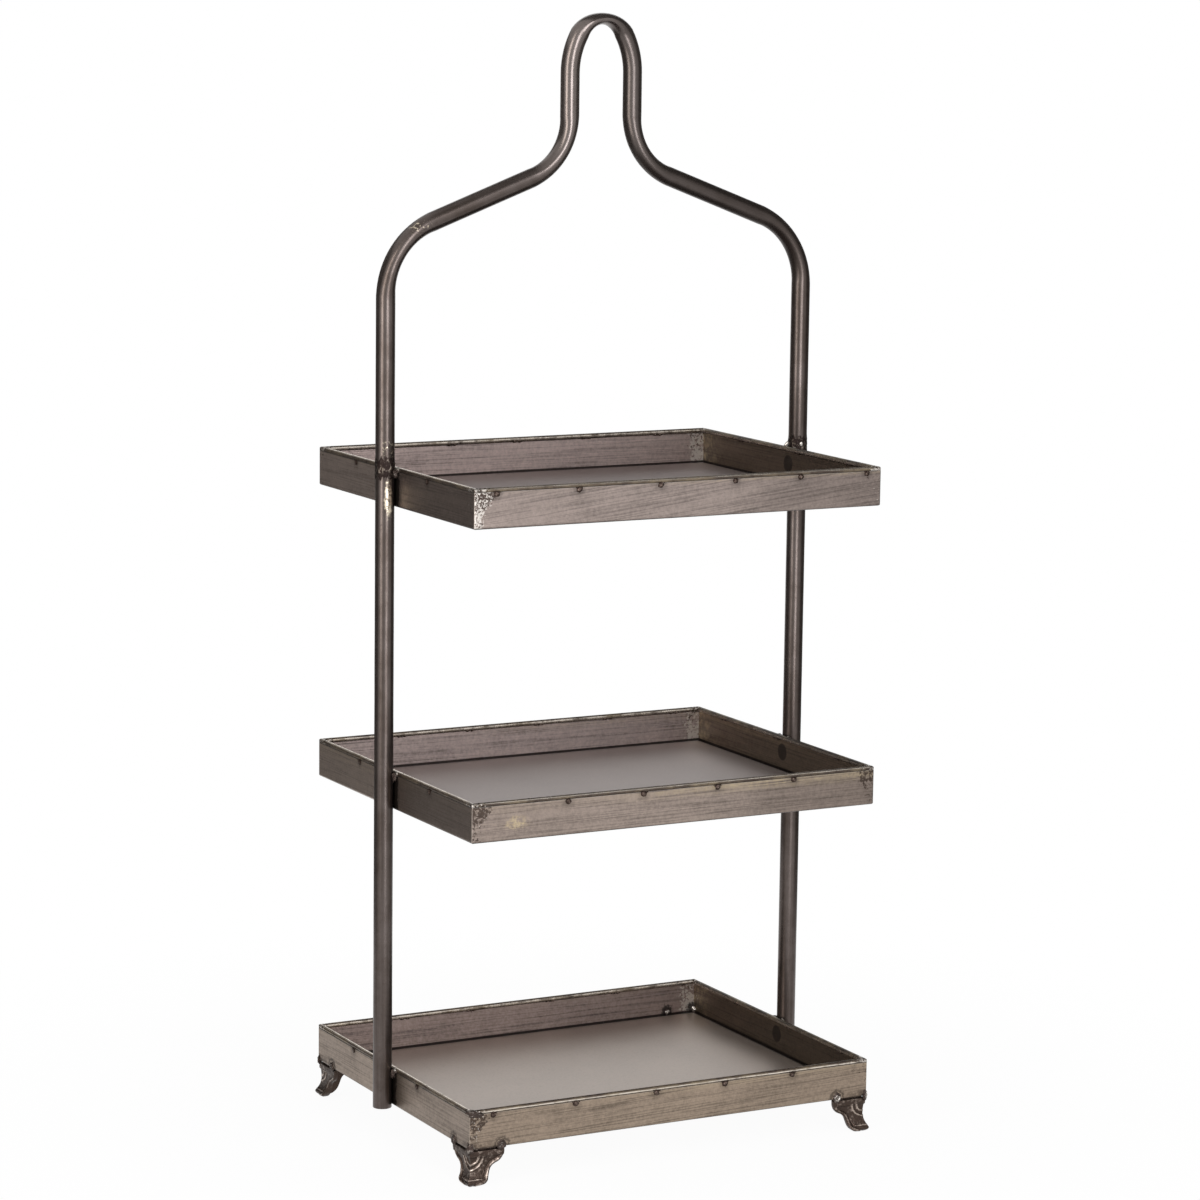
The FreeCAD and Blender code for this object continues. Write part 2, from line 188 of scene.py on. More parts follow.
def seen_directly(tree):
    """1 for rays from the camera, and for reflections and glass, else 0."""
    path = add(tree, "ShaderNodeLightPath").outputs
    return most(path["Is Camera Ray"], most(path["Is Glossy Ray"], path["Is Transmission Ray"]))


# %% World and floor
SOFT_LEVEL = 0.5
WHITE = (1, 1, 1, 1)
PAPER = (0.86, 0.86, 0.86, 1)
FLOOR_SIZE = 60.0
FADE = (0.12, 0.9, 0.95, 1.0)


def plane(name, width, height, material):
    """A rectangle in the XY plane, centred on the origin, that isn't part of the stand."""
    sheet = bpy.data.meshes.new(name)
    corners = [(x * width / 2, y * height / 2, 0) for x, y in ((-1, -1), (1, -1), (1, 1), (-1, 1))]
    sheet.from_pydata(corners, [], [(0, 1, 2, 3)])
    sheet.materials.append(material)
    made = bpy.data.objects.new(name, sheet)
    bpy.context.scene.collection.objects.link(made)
    return made


def new_material(name):
    """An empty node material; gives it with its tree."""
    made = bpy.data.materials.new(name)
    made.use_nodes = True
    made.node_tree.nodes.clear()
    return made, made.node_tree


world = bpy.data.worlds.new("white_surround")
world.use_nodes = True
bpy.context.scene.world = world
tree = world.node_tree
tree.nodes.clear()
level = ramp(seen_directly(tree), 0, 1, SOFT_LEVEL, 1)
sky = add(tree, "ShaderNodeBackground", {"Color": WHITE, "Strength": level})
add(tree, "ShaderNodeOutputWorld", {"Surface": sky.outputs[0]})

paper, tree = new_material("pale_floor")
place = add(tree, "ShaderNodeTexCoord").outputs["Object"]
away = add(tree, "ShaderNodeVectorMath", {0: place}, operation="LENGTH").outputs["Value"]
lit = add(tree, "ShaderNodeBsdfDiffuse", {"Color": PAPER})
white = add(tree, "ShaderNodeEmission", {"Color": WHITE, "Strength": 1.0})
whiter = times(seen_directly(tree), ramp(away, *FADE))
surface = add(tree, "ShaderNodeMixShader", {0: whiter, 1: lit.outputs[0], 2: white.outputs[0]})
add(tree, "ShaderNodeOutputMaterial", {"Surface": surface.outputs[0]})
plane("floor", FLOOR_SIZE, FLOOR_SIZE, paper)
print("world and floor ready")

# %% Grey cards and soft boxes
FELT = (0.22, 0.21, 0.2, 1)
CARD_TURNS = {"back_card": -158, "left_card": -118, "side_card": 72, "right_card": 110}
CARD_DISTANCE = 1.0
CARD_WIDTH = 0.72
CARD_TOP = 1.5
CARD_GAP = 0.002
CEILING_SIZE = (2.1, 2.2)
CEILING_AT = (0.93, 0, 1.8)
BOX_DISTANCE = 1.9
BOX_WIDTH = 0.56
BOX_TOP = 2.3
SOFT_BOXES = {
    "front_soft_box": {"turn": -6, "foot": 0.02, "watts": 29, "colour": (0.96, 0.97, 1.0)},
    "left_soft_box": {"turn": -67, "foot": 0.22, "watts": 19.5, "colour": (1.0, 0.96, 0.91)},
}


def stand_upright(thing, turn, distance, low, high):
    """Set a sheet or lamp upright, facing the stand; turn is measured as for the camera."""
    angle = math.radians(turn)
    outward = Vector((math.sin(angle), -math.cos(angle), 0))
    middle = outward * distance + Vector((0, 0, (low + high) / 2))
    thing.matrix_world = Matrix.Translation(middle) @ outward.to_track_quat("Z", "Y").to_matrix().to_4x4()


card_paint, tree = new_material("dark_card")
felt = add(tree, "ShaderNodeBsdfDiffuse", {"Color": FELT})
add(tree, "ShaderNodeOutputMaterial", {"Surface": felt.outputs[0]})
cards = [plane(name, CARD_WIDTH, CARD_TOP, card_paint) for name in CARD_TURNS]
for card, turn in zip(cards, CARD_TURNS.values()):
    stand_upright(card, turn, CARD_DISTANCE, CARD_GAP, CARD_GAP + CARD_TOP)
ceiling = plane("ceiling_card", *CEILING_SIZE, card_paint)
ceiling.matrix_world = Matrix.Translation(CEILING_AT)
for card in (*cards, ceiling):
    card.visible_camera = False
    card.visible_shadow = False
    card.visible_diffuse = False

for name, make in SOFT_BOXES.items():
    lamp = bpy.data.lights.new(name, "AREA")
    lamp.shape = "RECTANGLE"
    lamp.size = BOX_WIDTH
    lamp.size_y = BOX_TOP - make["foot"]
    lamp.energy = make["watts"]
    lamp.color = make["colour"]
    box = bpy.data.objects.new(name, lamp)
    box.visible_camera = False
    bpy.context.scene.collection.objects.link(box)
    stand_upright(box, make["turn"], BOX_DISTANCE, make["foot"], BOX_TOP)
print("cards:", len(cards) + 1, "soft boxes:", len(SOFT_BOXES))

# %% [markdown]
# ## Effects that several metals share
#
# Brushed streaks, blotches of oxide, bright worn edges, burnt spots and end zones turn up on
# more than one part. Each is a node group with named inputs and outputs, so that each metal can
# use it with its own scale and strength. The groups put out masks only; the shader with its
# plain settings stays in each material.

# %% Helpers for node groups
def new_group(name, inputs, outputs):
    """A node group with float inputs {name: default}, where None means a vector."""
    tree = bpy.data.node_groups.new(name, "ShaderNodeTree")
    for label, default in inputs.items():
        kind = "NodeSocketVector" if default is None else "NodeSocketFloat"
        socket = tree.interface.new_socket(label, in_out="INPUT", socket_type=kind)
        if default is not None:
            socket.default_value = default
    for label in outputs:
        tree.interface.new_socket(label, in_out="OUTPUT", socket_type="NodeSocketFloat")
    inlet = tree.nodes.new("NodeGroupInput")
    outlet = tree.nodes.new("NodeGroupOutput")
    return tree, inlet.outputs, outlet.inputs


def link(value, socket):
    """Connect a result to an output of its group."""
    value.id_data.links.new(value, socket)


def use(group, **inputs):
    """Place a group in the tree that its inputs come from; gives its outputs."""
    return beside("ShaderNodeGroup", inputs, node_tree=group).outputs


def vector_maths(operation, output, *values):
    """One Vector Math node; gives the named output socket."""
    return beside("ShaderNodeVectorMath", dict(enumerate(values)), operation=operation).outputs[output]


def shrunk(vector, size):
    """A vector divided by a size, so that noise of scale 1 gets features of that size."""
    scale = maths("DIVIDE", 1.0, size)
    return beside("ShaderNodeVectorMath", {0: vector, "Scale": scale}, operation="SCALE").outputs[0]


def noise_of(vector, seed, scale=1.0, detail=3.0, roughness=0.55):
    """Noise that differs with its seed."""
    return beside("ShaderNodeTexNoise", {
        "Vector": vector, "Scale": scale, "W": seed, "Detail": detail, "Roughness": roughness,
    }, noise_dimensions="4D").outputs[0]


def split(vector):
    """The X, Y and Z outputs of a vector."""
    return beside("ShaderNodeSeparateXYZ", {0: vector}).outputs


def joined(**parts):
    """A vector made of X, Y and Z; a part left out is 0."""
    return beside("ShaderNodeCombineXYZ", parts).outputs[0]


# %% Brushed streaks: noise drawn out along the brushing, and sheared if the hand slants
streaks, ins, outs = new_group("brushed_streaks", {
    "Position": None, "Size": 0.003, "Stretch": 20.0, "Slant": 0.0, "Seed": 0.0,
}, ("Broad", "Fine"))
xyz = split(ins["Position"])
lifted = plus(xyz["Z"], times(xyz["X"], ins["Slant"]))
flat = joined(X=maths("DIVIDE", xyz["X"], ins["Stretch"]), Y=xyz["Y"], Z=lifted)
sized = shrunk(flat, ins["Size"])
link(ramp(noise_of(sized, ins["Seed"], 1.0, 4.0, 0.62), 0.3, 0.7), outs["Broad"])
link(ramp(noise_of(sized, ins["Seed"], 3.6, 3.0, 0.7), 0.3, 0.7), outs["Fine"])

# %% Blotches: ragged patches that cover a chosen share of the surface
blotches, ins, outs = new_group("blotches", {
    "Position": None, "Size": 0.02, "Cover": 0.4, "Softness": 0.12, "Seed": 0.0,
}, ("Patch",))
patch = noise_of(shrunk(ins["Position"], ins["Size"]), ins["Seed"], 1.0, 6.0, 0.66)
middle = minus(0.72, times(ins["Cover"], 0.44))
link(ramp(patch, minus(middle, ins["Softness"]), plus(middle, ins["Softness"])), outs["Patch"])


def spots(position, **shape):
    """Mask of blotches; shape gives their Size in metres, Cover, Softness and Seed."""
    return use(blotches, Position=position, **shape)["Patch"]


# %% Worn edges: where a rounded copy of the surface would turn away from the true one
worn_edges, ins, outs = new_group("worn_edges", {
    "Position": None, "Width": 0.001, "Raggedness": 0.5, "Seed": 0.0,
}, ("Wear",))
rounded = beside("ShaderNodeBevel", {"Radius": ins["Width"]}, samples=6).outputs[0]
true_normal = add(worn_edges, "ShaderNodeNewGeometry").outputs["Normal"]
agree = vector_maths("DOT_PRODUCT", "Value", rounded, true_normal)
rubbed = noise_of(ins["Position"], ins["Seed"], 1 / 0.004)
bite = times(minus(rubbed, 0.5), ins["Raggedness"])
link(ramp(plus(minus(1.0, agree), times(bite, 0.35)), 0.03, 0.14), outs["Wear"])

# %% Burnt spot: a dark core and a halo round a point, with ragged outlines
burnt_spot, ins, outs = new_group("burnt_spot", {
    "Position": None, "Distance": 1.0, "Radius": 0.003, "Seed": 0.0,
}, ("Core", "Ring", "Halo"))
ragged = times(minus(noise_of(ins["Position"], ins["Seed"], 1 / 0.003), 0.5), 0.9)
share = plus(maths("DIVIDE", ins["Distance"], ins["Radius"]), ragged)
link(ramp(share, 0.75, 0.4), outs["Core"])
link(times(ramp(share, 0.6, 0.85), ramp(share, 1.15, 0.9)), outs["Ring"])
link(ramp(share, 2.2, 0.8), outs["Halo"])

# %% End zone: 1 at both ends of a long piece and 0 from a chosen reach inwards
end_zone, ins, outs = new_group("end_zone", {"Along": 0.0, "Half": 0.2, "Reach": 0.03}, ("Zone",))
to_end = minus(ins["Half"], maths("ABSOLUTE", ins["Along"]))
link(ramp(to_end, ins["Reach"], 0.0), outs["Zone"])


def end_mask(along, half, reach):
    """The end zone of a length from -half to half, fading over the given reach."""
    return use(end_zone, Along=along, Half=half, Reach=reach)["Zone"]


print("groups:", [group.name for group in bpy.data.node_groups])

# %% [markdown]
# ## Brushed sheet for the tray sides
#
# The sides are mild steel, brushed by hand along their length and waxed over a warm brown heat
# tint. Each hand stroke slants a little, so every side gets its own slant and seed. Near the
# mitred corners the grinder has left a mottled zone, under the rim a brass-coloured haze from
# brazing, and each braze tack has burnt a dark spot through the sheet. All of it is worked out
# from the place of a point on its wall: how far along, and how far above the tray's underside.

# %% Where the braze tacks sit, in millimetres along each side from its middle
TACKS = {
    "upper": {"front": (-199, -112, -24, 58, 131, 206), "left": (-75, 88), "back": (-150, -75, 0, 80, 165),
              "right": (-120, -20, 95)},
    "middle": {"front": (-120, -38, 44, 130), "left": (-84, 78), "back": (-130, -52, 28, 110, 190),
               "right": (-110, 10, 120)},
    "lower": {"front": (-197, -108, -19, 58, 135), "left": (-60, 90), "back": (-125, -48, 45, 124),
              "right": (-130, -25, 84)},
}
TACK_HEIGHT = 33.0
print("tacks:", sum(len(places) for sides in TACKS.values() for places in sides.values()))

# %% Values of the three trays, as linear colours
TRAY_LOOKS = {
    "upper": {
        "outer": (0.256, 0.21, 0.188), "inner": (0.385, 0.313, 0.293), "slant": -0.11, "deeper": 0.36,
        "haze": 0.35, "haze_depth": 0.004, "banded": 0.2, "dark_bits": 0.78, "pale_bits": 0.55,
        "right_end": 0.3, "left_end": 0.16,
    },
    "middle": {
        "outer": (0.265, 0.215, 0.185), "inner": (0.375, 0.31, 0.293), "slant": -0.01, "deeper": 0.42,
        "haze": 0.7, "haze_depth": 0.013, "banded": 0.14, "dark_bits": 0.66, "pale_bits": 0.2,
        "right_end": 0.85, "left_end": 0.18,
    },
    "lower": {
        "outer": (0.275, 0.215, 0.165), "inner": (0.284, 0.226, 0.208), "slant": -0.03, "deeper": 0.1,
        "haze": 0.3, "haze_depth": 0.008, "banded": 0.08, "dark_bits": 0.62, "pale_bits": 0.28,
        "right_end": 0.45, "left_end": 0.05,
    },
}
# The inner colours of the end sides are painted shade, far darker than their outer colours.
TURNED = {
    "upper": {"outer": (0.29, 0.238, 0.213), "inner": (0.098, 0.077, 0.056), "deeper": 0.72},
    "middle": {"outer": (0.30, 0.247, 0.215), "inner": (0.132, 0.104, 0.077), "deeper": 0.66},
    "lower": {"outer": (0.25, 0.2, 0.162), "inner": (0.1, 0.078, 0.058), "deeper": 0.1},
}
BRASS_HAZE = (0.46, 0.37, 0.24, 1)
# This near-black colours real burns and also painted shade in crevices and gaps.
BURNT_AND_SHADE = (0.016, 0.012, 0.01, 1)
BARE_STEEL = (0.66, 0.61, 0.56, 1)
OXIDE = (0.042, 0.028, 0.022, 1)
DEEPER = (0.3, 0.28, 0.27, 1)
OUTER_RANGE = (0.28, 1.42)
INNER_RANGE = (0.12, 1.7)
CALM_RANGE = (0.5, 1.4)
print("looks for", ", ".join(TRAY_LOOKS))

# %% Sizes on a side, in metres above the tray's underside or from the side's end
SHEET_TOP = 0.035
SEAM_TOP = 0.0042
FACE_BAND = (0.0008, 0.0004)
CORNER_REACH = (0.016, 0.036)
BACK_REACH = (0.03, 0.036)
CORNER_RISE = (0.004, 0.036)
LOW_CORNER_REACH = 0.045
LOW_CORNER_RISE = (0.011, 0.004)
STAIN_REACH = 0.05
BRASS_PATCH = (-0.176, 0, 0.03)
BRASS_PATCH_EDGE = (0.018, 0.007)
FOOT_WELD_REACH = 0.0345
FOOT_WELD_RISE = 0.002
HEAD_RISE = 0.0058
CORNER_HEAD_REACH = 0.003
TACK_BURN = 0.0042
FOOT_WELD_BURN = 0.0085
HEAD_BURN = 0.0125
SCORCH_AT = (0, 0, 0.021)
SCORCH_EDGE = (0.0096, 0.0078)
TUBE_SOOT_AND_SHADOW_EDGE = (0.0125, 0.0095)
print("sheet up to", SHEET_TOP, "m above a tray's underside")

# %% Helpers for metals
def new_metal(name):
    """A new material with its tree and the place of each point on the stand, in metres."""
    made, tree = new_material(name)
    return made, tree, add(tree, "ShaderNodeTexCoord").outputs["Object"]


def coat(tree, colour, rough, height, metallic, strength, distance):
    """The metal's surface, with a bump of the given strength and distance in metres."""
    bump = add(tree, "ShaderNodeBump", {"Height": height, "Strength": strength, "Distance": distance})
    shader = add(tree, "ShaderNodeBsdfPrincipled", {
        "Base Color": colour, "Metallic": metallic, "Roughness": rough, "Normal": bump.outputs[0],
    })
    add(tree, "ShaderNodeOutputMaterial", {"Surface": shader.outputs[0]})


def blend(share, first, second, how="MIX"):
    """Mix two colours, or multiply the first by the second."""
    mixed = beside("ShaderNodeMix", {0: share, 6: first, 7: second}, data_type="RGBA", blend_type=how)
    return mixed.outputs[2]


def layered(colour, *coats):
    """A colour under coats of (mask, colour), the last one on top."""
    for mask, paint in coats:
        colour = blend(mask, colour, paint)
    return colour


def shaded(colour, factor):
    """A colour made darker or lighter, with alpha."""
    return (*(min(1.0, value * factor) for value in colour), 1)


def toned(shade, colour, levels):
    """A colour that runs with the shade from its darker to its lighter level."""
    return blend(shade, shaded(colour, levels[0]), shaded(colour, levels[1]))


def stretch(vector, scale):
    """Stretch a vector by a fixed amount on each axis."""
    return vector_maths("MULTIPLY", "Vector", vector, scale)


def distance_to(position, centre):
    """Distance from a point."""
    return vector_maths("DISTANCE", "Value", position, centre)


def nearest(position, centres):
    """Distance to the nearest of several points."""
    found = distance_to(position, centres[0])
    for centre in centres[1:]:
        found = maths("MINIMUM", found, distance_to(position, centre))
    return found


# %% Material of one tray side
def side_steel(tray, side, seed):
    """Brushed, tinted sheet of one side of one tray."""
    looks = TRAY_LOOKS[tray]
    front, back, turned = side == "front", side == "back", side in ("left", "right")
    tones = TURNED[tray] if turned else looks
    half, face = (half_depth, half_length) if turned else (half_length, half_depth)
    made, tree, place = new_metal(f"{tray}_{side}_steel")
    place = add(tree, "ShaderNodeMapping", {
        "Vector": place, "Location": (0, 0, -tray_base[tray]),
        "Rotation": (0, 0, -math.pi / 2 if turned else 0),
    }).outputs[0]
    x, y, z = split(place)
    on_face = joined(X=x, Z=z)
    inside = ramp(maths("ABSOLUTE", y), face - FACE_BAND[0], face - FACE_BAND[1], 1, 0)
    outside = minus(1.0, inside)

    # Tone: fine strokes, broader bands, clouds of heat tint, grit, and a darker far end.
    slant = ramp(inside, 0, 1, 0.0 if turned else looks["slant"], 0.0)
    strokes = use(streaks, Position=place, Size=0.0012, Stretch=80.0, Slant=slant, Seed=seed)
    bands = use(streaks, Position=place, Size=0.008, Stretch=14.0, Slant=slant, Seed=seed + 1)["Broad"]
    grit = spots(place, Size=0.0032, Cover=0.5, Softness=0.16, Seed=seed + 11)
    clouds = spots(place, Size=0.06, Cover=0.5, Softness=0.2, Seed=seed + 3)
    lines = ramp(strokes["Broad"], 0.0, 0.62)
    shade = plus(times(lines, 0.36), times(strokes["Fine"], 0.14), times(bands, looks["banded"]),
                 times(clouds, 0.16), times(grit, 0.24))
    outer = toned(shade, tones["outer"], OUTER_RANGE if front else CALM_RANGE)
    # On the end sides the inner colour is painted shade.
    inner = toned(shade, tones["inner"], CALM_RANGE if turned else INNER_RANGE)
    deep_from, deep_to = (0.015, -0.04) if turned else (0.0, 0.2)
    deep = times(ramp(x, deep_from, deep_to), tones["deeper"])
    if front:
        deep = most(deep, ramp(x, -0.03, -0.17, 0, looks["left_end"]))
    colour = blend(times(deep, outside), blend(inside, outer, inner), DEEPER, "MULTIPLY")

    # Brass-coloured haze under the rim, and one patch of it low on the middle front.
    flecks = spots(on_face, Size=0.006, Cover=0.42, Softness=0.12, Seed=seed + 5)
    haze = times(ramp(z, SHEET_TOP - looks["haze_depth"], SHEET_TOP - 0.001), lines,
                 ramp(x, -0.1, 0.06, 0.2, 1.0), ramp(flecks, 0, 1, 0.5, 1.0),
                 looks["haze"] * (1.0 if front else 0.45))
    colour = blend(haze, colour, BRASS_HAZE)
    if tray == "middle" and front:
        patch = ramp(distance_to(stretch(on_face, (1.0, 0, 1.8)), BRASS_PATCH), *BRASS_PATCH_EDGE)
        colour = blend(times(patch, times(flecks, 0.95)), colour, BRASS_HAZE)

    # Mottled ends: dark and pale bits that thin out away from the corners.
    higher = ramp(z, *CORNER_RISE)
    reach = ramp(higher, 0, 1, *(BACK_REACH if back else CORNER_REACH))
    zone = ramp(end_mask(x, half, reach), 0.0, 0.7)
    left_end, right_end = {"front": (1.0, looks["right_end"]), "back": (0.5, 1.0)}.get(side, (0.3, 0.3))
    zone = times(zone, ramp(x, -0.01, 0.01, left_end, right_end))
    dark_cover = times(zone, looks["dark_bits"], ramp(higher, 0, 1, 0.6, 1.0),
                       ramp(inside, 0, 1, 1.0, 0.66 if back else 0.7))
    pale_cover = times(zone, ramp(inside, 0, 1, looks["pale_bits"], 0.6 if back else 0.52),
                       ramp(higher, 0, 1, 1.0, 0.8))
    pale_size, pale_strength = (0.0028, 0.9) if back else (0.0024, 0.75)
    dark_bits = spots(place, Size=0.0030, Cover=dark_cover, Softness=0.03, Seed=seed + 7)
    pale_bits = spots(place, Size=pale_size, Cover=pale_cover, Softness=0.03, Seed=seed + 9)
    uneven = spots(place, Size=0.005, Cover=0.62, Softness=0.12, Seed=seed + 8)
    mottled = dark_bits
    if tray == "lower":
        low_corner = times(ramp(z, *LOW_CORNER_RISE), end_mask(x, half, LOW_CORNER_REACH), outside)
        mottled = most(mottled, times(low_corner, times(uneven, 0.9)))
    if side == "right":
        stained = times(end_mask(x, half, STAIN_REACH), inside, times(flecks, 0.5))
        colour = blend(stained, colour, BRASS_HAZE)
    colour = layered(colour, (times(mottled, 0.86), OXIDE), (times(pale_bits, pale_strength), BARE_STEEL))

    # Burnt spots: over the tacks, round the foot welds, and where a tube is welded on outside, where the
    # dark strip beside the tube is soot and painted contact shadow.
    def burn(centres, radius):
        """Burnt spots of one radius round several centres."""
        nearby = nearest(on_face, centres)
        return use(burnt_spot, Position=place, Distance=nearby, Radius=radius, Seed=seed)

    spot = burn([(along * MM, 0, TACK_HEIGHT * MM) for along in TACKS[tray][side]], TACK_BURN)
    burnt = times(outside, most(spot["Core"], times(spot["Halo"], 0.3)))
    if tray == "lower":
        end = half - FOOT_WELD_REACH
        rings = burn([(at, 0, FOOT_WELD_RISE) for at in (-end, end)], FOOT_WELD_BURN)
        burnt = most(burnt, times(rings["Ring"], outside, 0.6))
        if not turned:
            reaches = (end, half - CORNER_HEAD_REACH)
            heads = burn([(sign * reach, 0, HEAD_RISE) for sign in (-1, 1) for reach in reaches], HEAD_BURN)
            burnt = most(burnt, times(heads["Core"], inside, 0.9))
    if turned:
        scorch = ramp(distance_to(on_face, SCORCH_AT), *SCORCH_EDGE)
        aside = plus(maths("ABSOLUTE", x), times(uneven, -0.003))
        # Beside the tube: soot and a painted contact shadow.
        soot_and_shadow = times(ramp(aside, *TUBE_SOOT_AND_SHADOW_EDGE), outside, 0.92)
        burnt = most(burnt, times(scorch, inside, 0.8), soot_and_shadow)

    # Painted shade under the rim bar, in the crevice at the top of the sheet and along the fold to the
    # floor, and edges rubbed bright.
    shade_under_rim = times(ramp(z, SHEET_TOP - 0.0019, SHEET_TOP - 0.0011), inside)
    crevice_shade = ramp(z, SHEET_TOP - 0.0008, SHEET_TOP, 0, 0.3 if front else 1.0)
    seam_shade = times(ramp(z, SEAM_TOP + 0.0004, SEAM_TOP - 0.0002), inside)
    wear = use(worn_edges, Position=place, Width=0.0011, Raggedness=0.8, Seed=seed)["Wear"]
    colour = layered(colour, (burnt, BURNT_AND_SHADE), (times(most(shade_under_rim, crevice_shade, seam_shade), 0.92), BURNT_AND_SHADE),
                     (times(wear, 0.3), BARE_STEEL))

    rough = ramp(minus(shade, burnt), 0, 1, 0.52, 0.36)
    height = plus(times(lines, 0.7), times(plus(dark_bits, grit), 0.4))
    coat(tree, colour, rough, height, metallic=0.93, strength=0.25, distance=0.0002)
    return made


def finish_node(node, material):
    """Give a node of the frame another material."""
    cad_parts[node].material_slots[0].material = material


for t, tray in enumerate(TRAYS):
    for s, side in enumerate(SIDES):
        finish_node(f"{tray}_{side}_wall", side_steel(tray, side, 10.0 * t + 2.3 * s))
print("tray sides finished")

# %% [markdown]
# ## Satin floor panels
#
# The floors are one flat panel each, buffed to an even satin and waxed. They look almost like
# pewter: smooth, with the reflections of the sides in them and a very fine grain. Each tray's floor
# colour carries painted shade, darkest on the upper tray; along the folds lie grime and painted
# shade, with a painted shadow line in the gap at each fold, and the right end is painted paler.

# %% Material of the floors
# Floor colours per tray carry painted shade: darkest on the upper tray, palest on the lower one.
FLOOR_COLOUR = {
    "upper": (0.25, 0.212, 0.203), "middle": (0.355, 0.313, 0.298), "lower": (0.43, 0.375, 0.335),
}
FLOOR_ROUGHNESS = {"upper": 0.5, "middle": 0.48, "lower": 0.42}
# A paler zone towards the right end of each floor: painted light against the dark reflection of the side
# there.
PAINTED_PALE_END = (0.13, 0.215)
GRIME_AND_SHADE = {"inset": 0.003, "reach": 0.012}
FOLD_SHADOW = {"inset": 0.0015, "reach": 0.006}


def near_folds(x, y, inset, reach):
    """Mask that rises towards the folds all round a tray's floor."""
    return most(end_mask(x, half_length - inset, reach), end_mask(y, half_depth - inset, reach))


def floor_steel(tray, seed):
    """Satin sheet of one floor panel."""
    made, tree, place = new_metal(f"{tray}_floor_steel")
    x, y, z = split(place)
    strokes = use(streaks, Position=joined(X=x, Z=y), Size=0.0026, Stretch=6.0, Slant=0.1, Seed=seed)
    clouds = spots(place, Size=0.12, Cover=0.5, Softness=0.3, Seed=seed + 2)
    specks = spots(place, Size=0.0022, Cover=0.3, Softness=0.12, Seed=seed + 4)
    patches = spots(place, Size=0.016, Cover=0.6, Softness=0.25, Seed=seed + 6)
    shade = plus(times(strokes["Fine"], 0.4), times(clouds, 0.6))
    # Grime and painted shade towards the folds, and a painted shadow line in the gap at each fold.
    grime_and_shade = times(near_folds(x, y, **GRIME_AND_SHADE), patches)
    colour = layered(
        toned(shade, FLOOR_COLOUR[tray], (0.86, 1.14)),
        (times(specks, 0.16), OXIDE),
        (ramp(x, *PAINTED_PALE_END, 0, 0.5), shaded(FLOOR_COLOUR[tray], 1.7)),
        (times(grime_and_shade, 0.3), OXIDE),
        (ramp(near_folds(x, y, **FOLD_SHADOW), 0.35, 0.6, 0, 0.85), BURNT_AND_SHADE),
    )
    level = FLOOR_ROUGHNESS[tray]
    rough = ramp(plus(shade, grime_and_shade), 0, 2, level - 0.05, level + 0.1)
    coat(tree, colour, rough, strokes["Fine"], metallic=0.92, strength=0.12, distance=0.0002)
    return made


for t, tray in enumerate(TRAYS):
    finish_node(f"{tray}_floor", floor_steel(tray, 40.0 + 5 * t))
print("floors finished")

# %% [markdown]
# ## Rims, tubes, iron and welds
#
# The rim bars have a painted highlight along their crowns and painted shade on the rest. The
# tubes are drawn steel with a dark pewter patina and fine lines along them, with a painted sheen
# on the neck and painted shade on the right slope of the arch. The cast feet are nearly black in
# their hollows and bright on everything that stands out, partly rubbed wear and partly a painted
# highlight; the meshes carry that as a value per point. Weld beads have a painted highlight on
# their crowns and are burnt where they meet the sheet, carried the same way.

# %% Round bars along the rims; a band is measured down from the top of the bar
RIM_LEVEL = rim_top["lower"]
TRAY_PITCH = tray_base["middle"] - tray_base["lower"]
# Colours of the painted shade and the painted highlight on the rim bars.
RIM_SHADE = (0.085, 0.066, 0.055)
RIM_HIGHLIGHT = (0.62, 0.56, 0.49)
RIM_SEED = 60.0
RIM_END_REACH = 0.034
# Per side, shade makes the whole bar darker or lighter as painted shade, and band gives where its painted
# highlight lies.
RIM_LOOKS = {
    "front": {"shade": 0.95, "band": (0.0002, 0.0019), "patchy": 0.2},
    "back": {"shade": 1.15, "band": (0.0006, 0.0046), "patchy": 0.5},
    "left": {"shade": 1.3, "band": (-0.0004, 0.0014), "patchy": 0.2},
    "right": {"shade": 0.6, "band": (0.0014, 0.0046), "patchy": 0.3},
    "lower_front": {"shade": 1.2, "band": (0.0018, 0.0036), "patchy": 0.1},
}


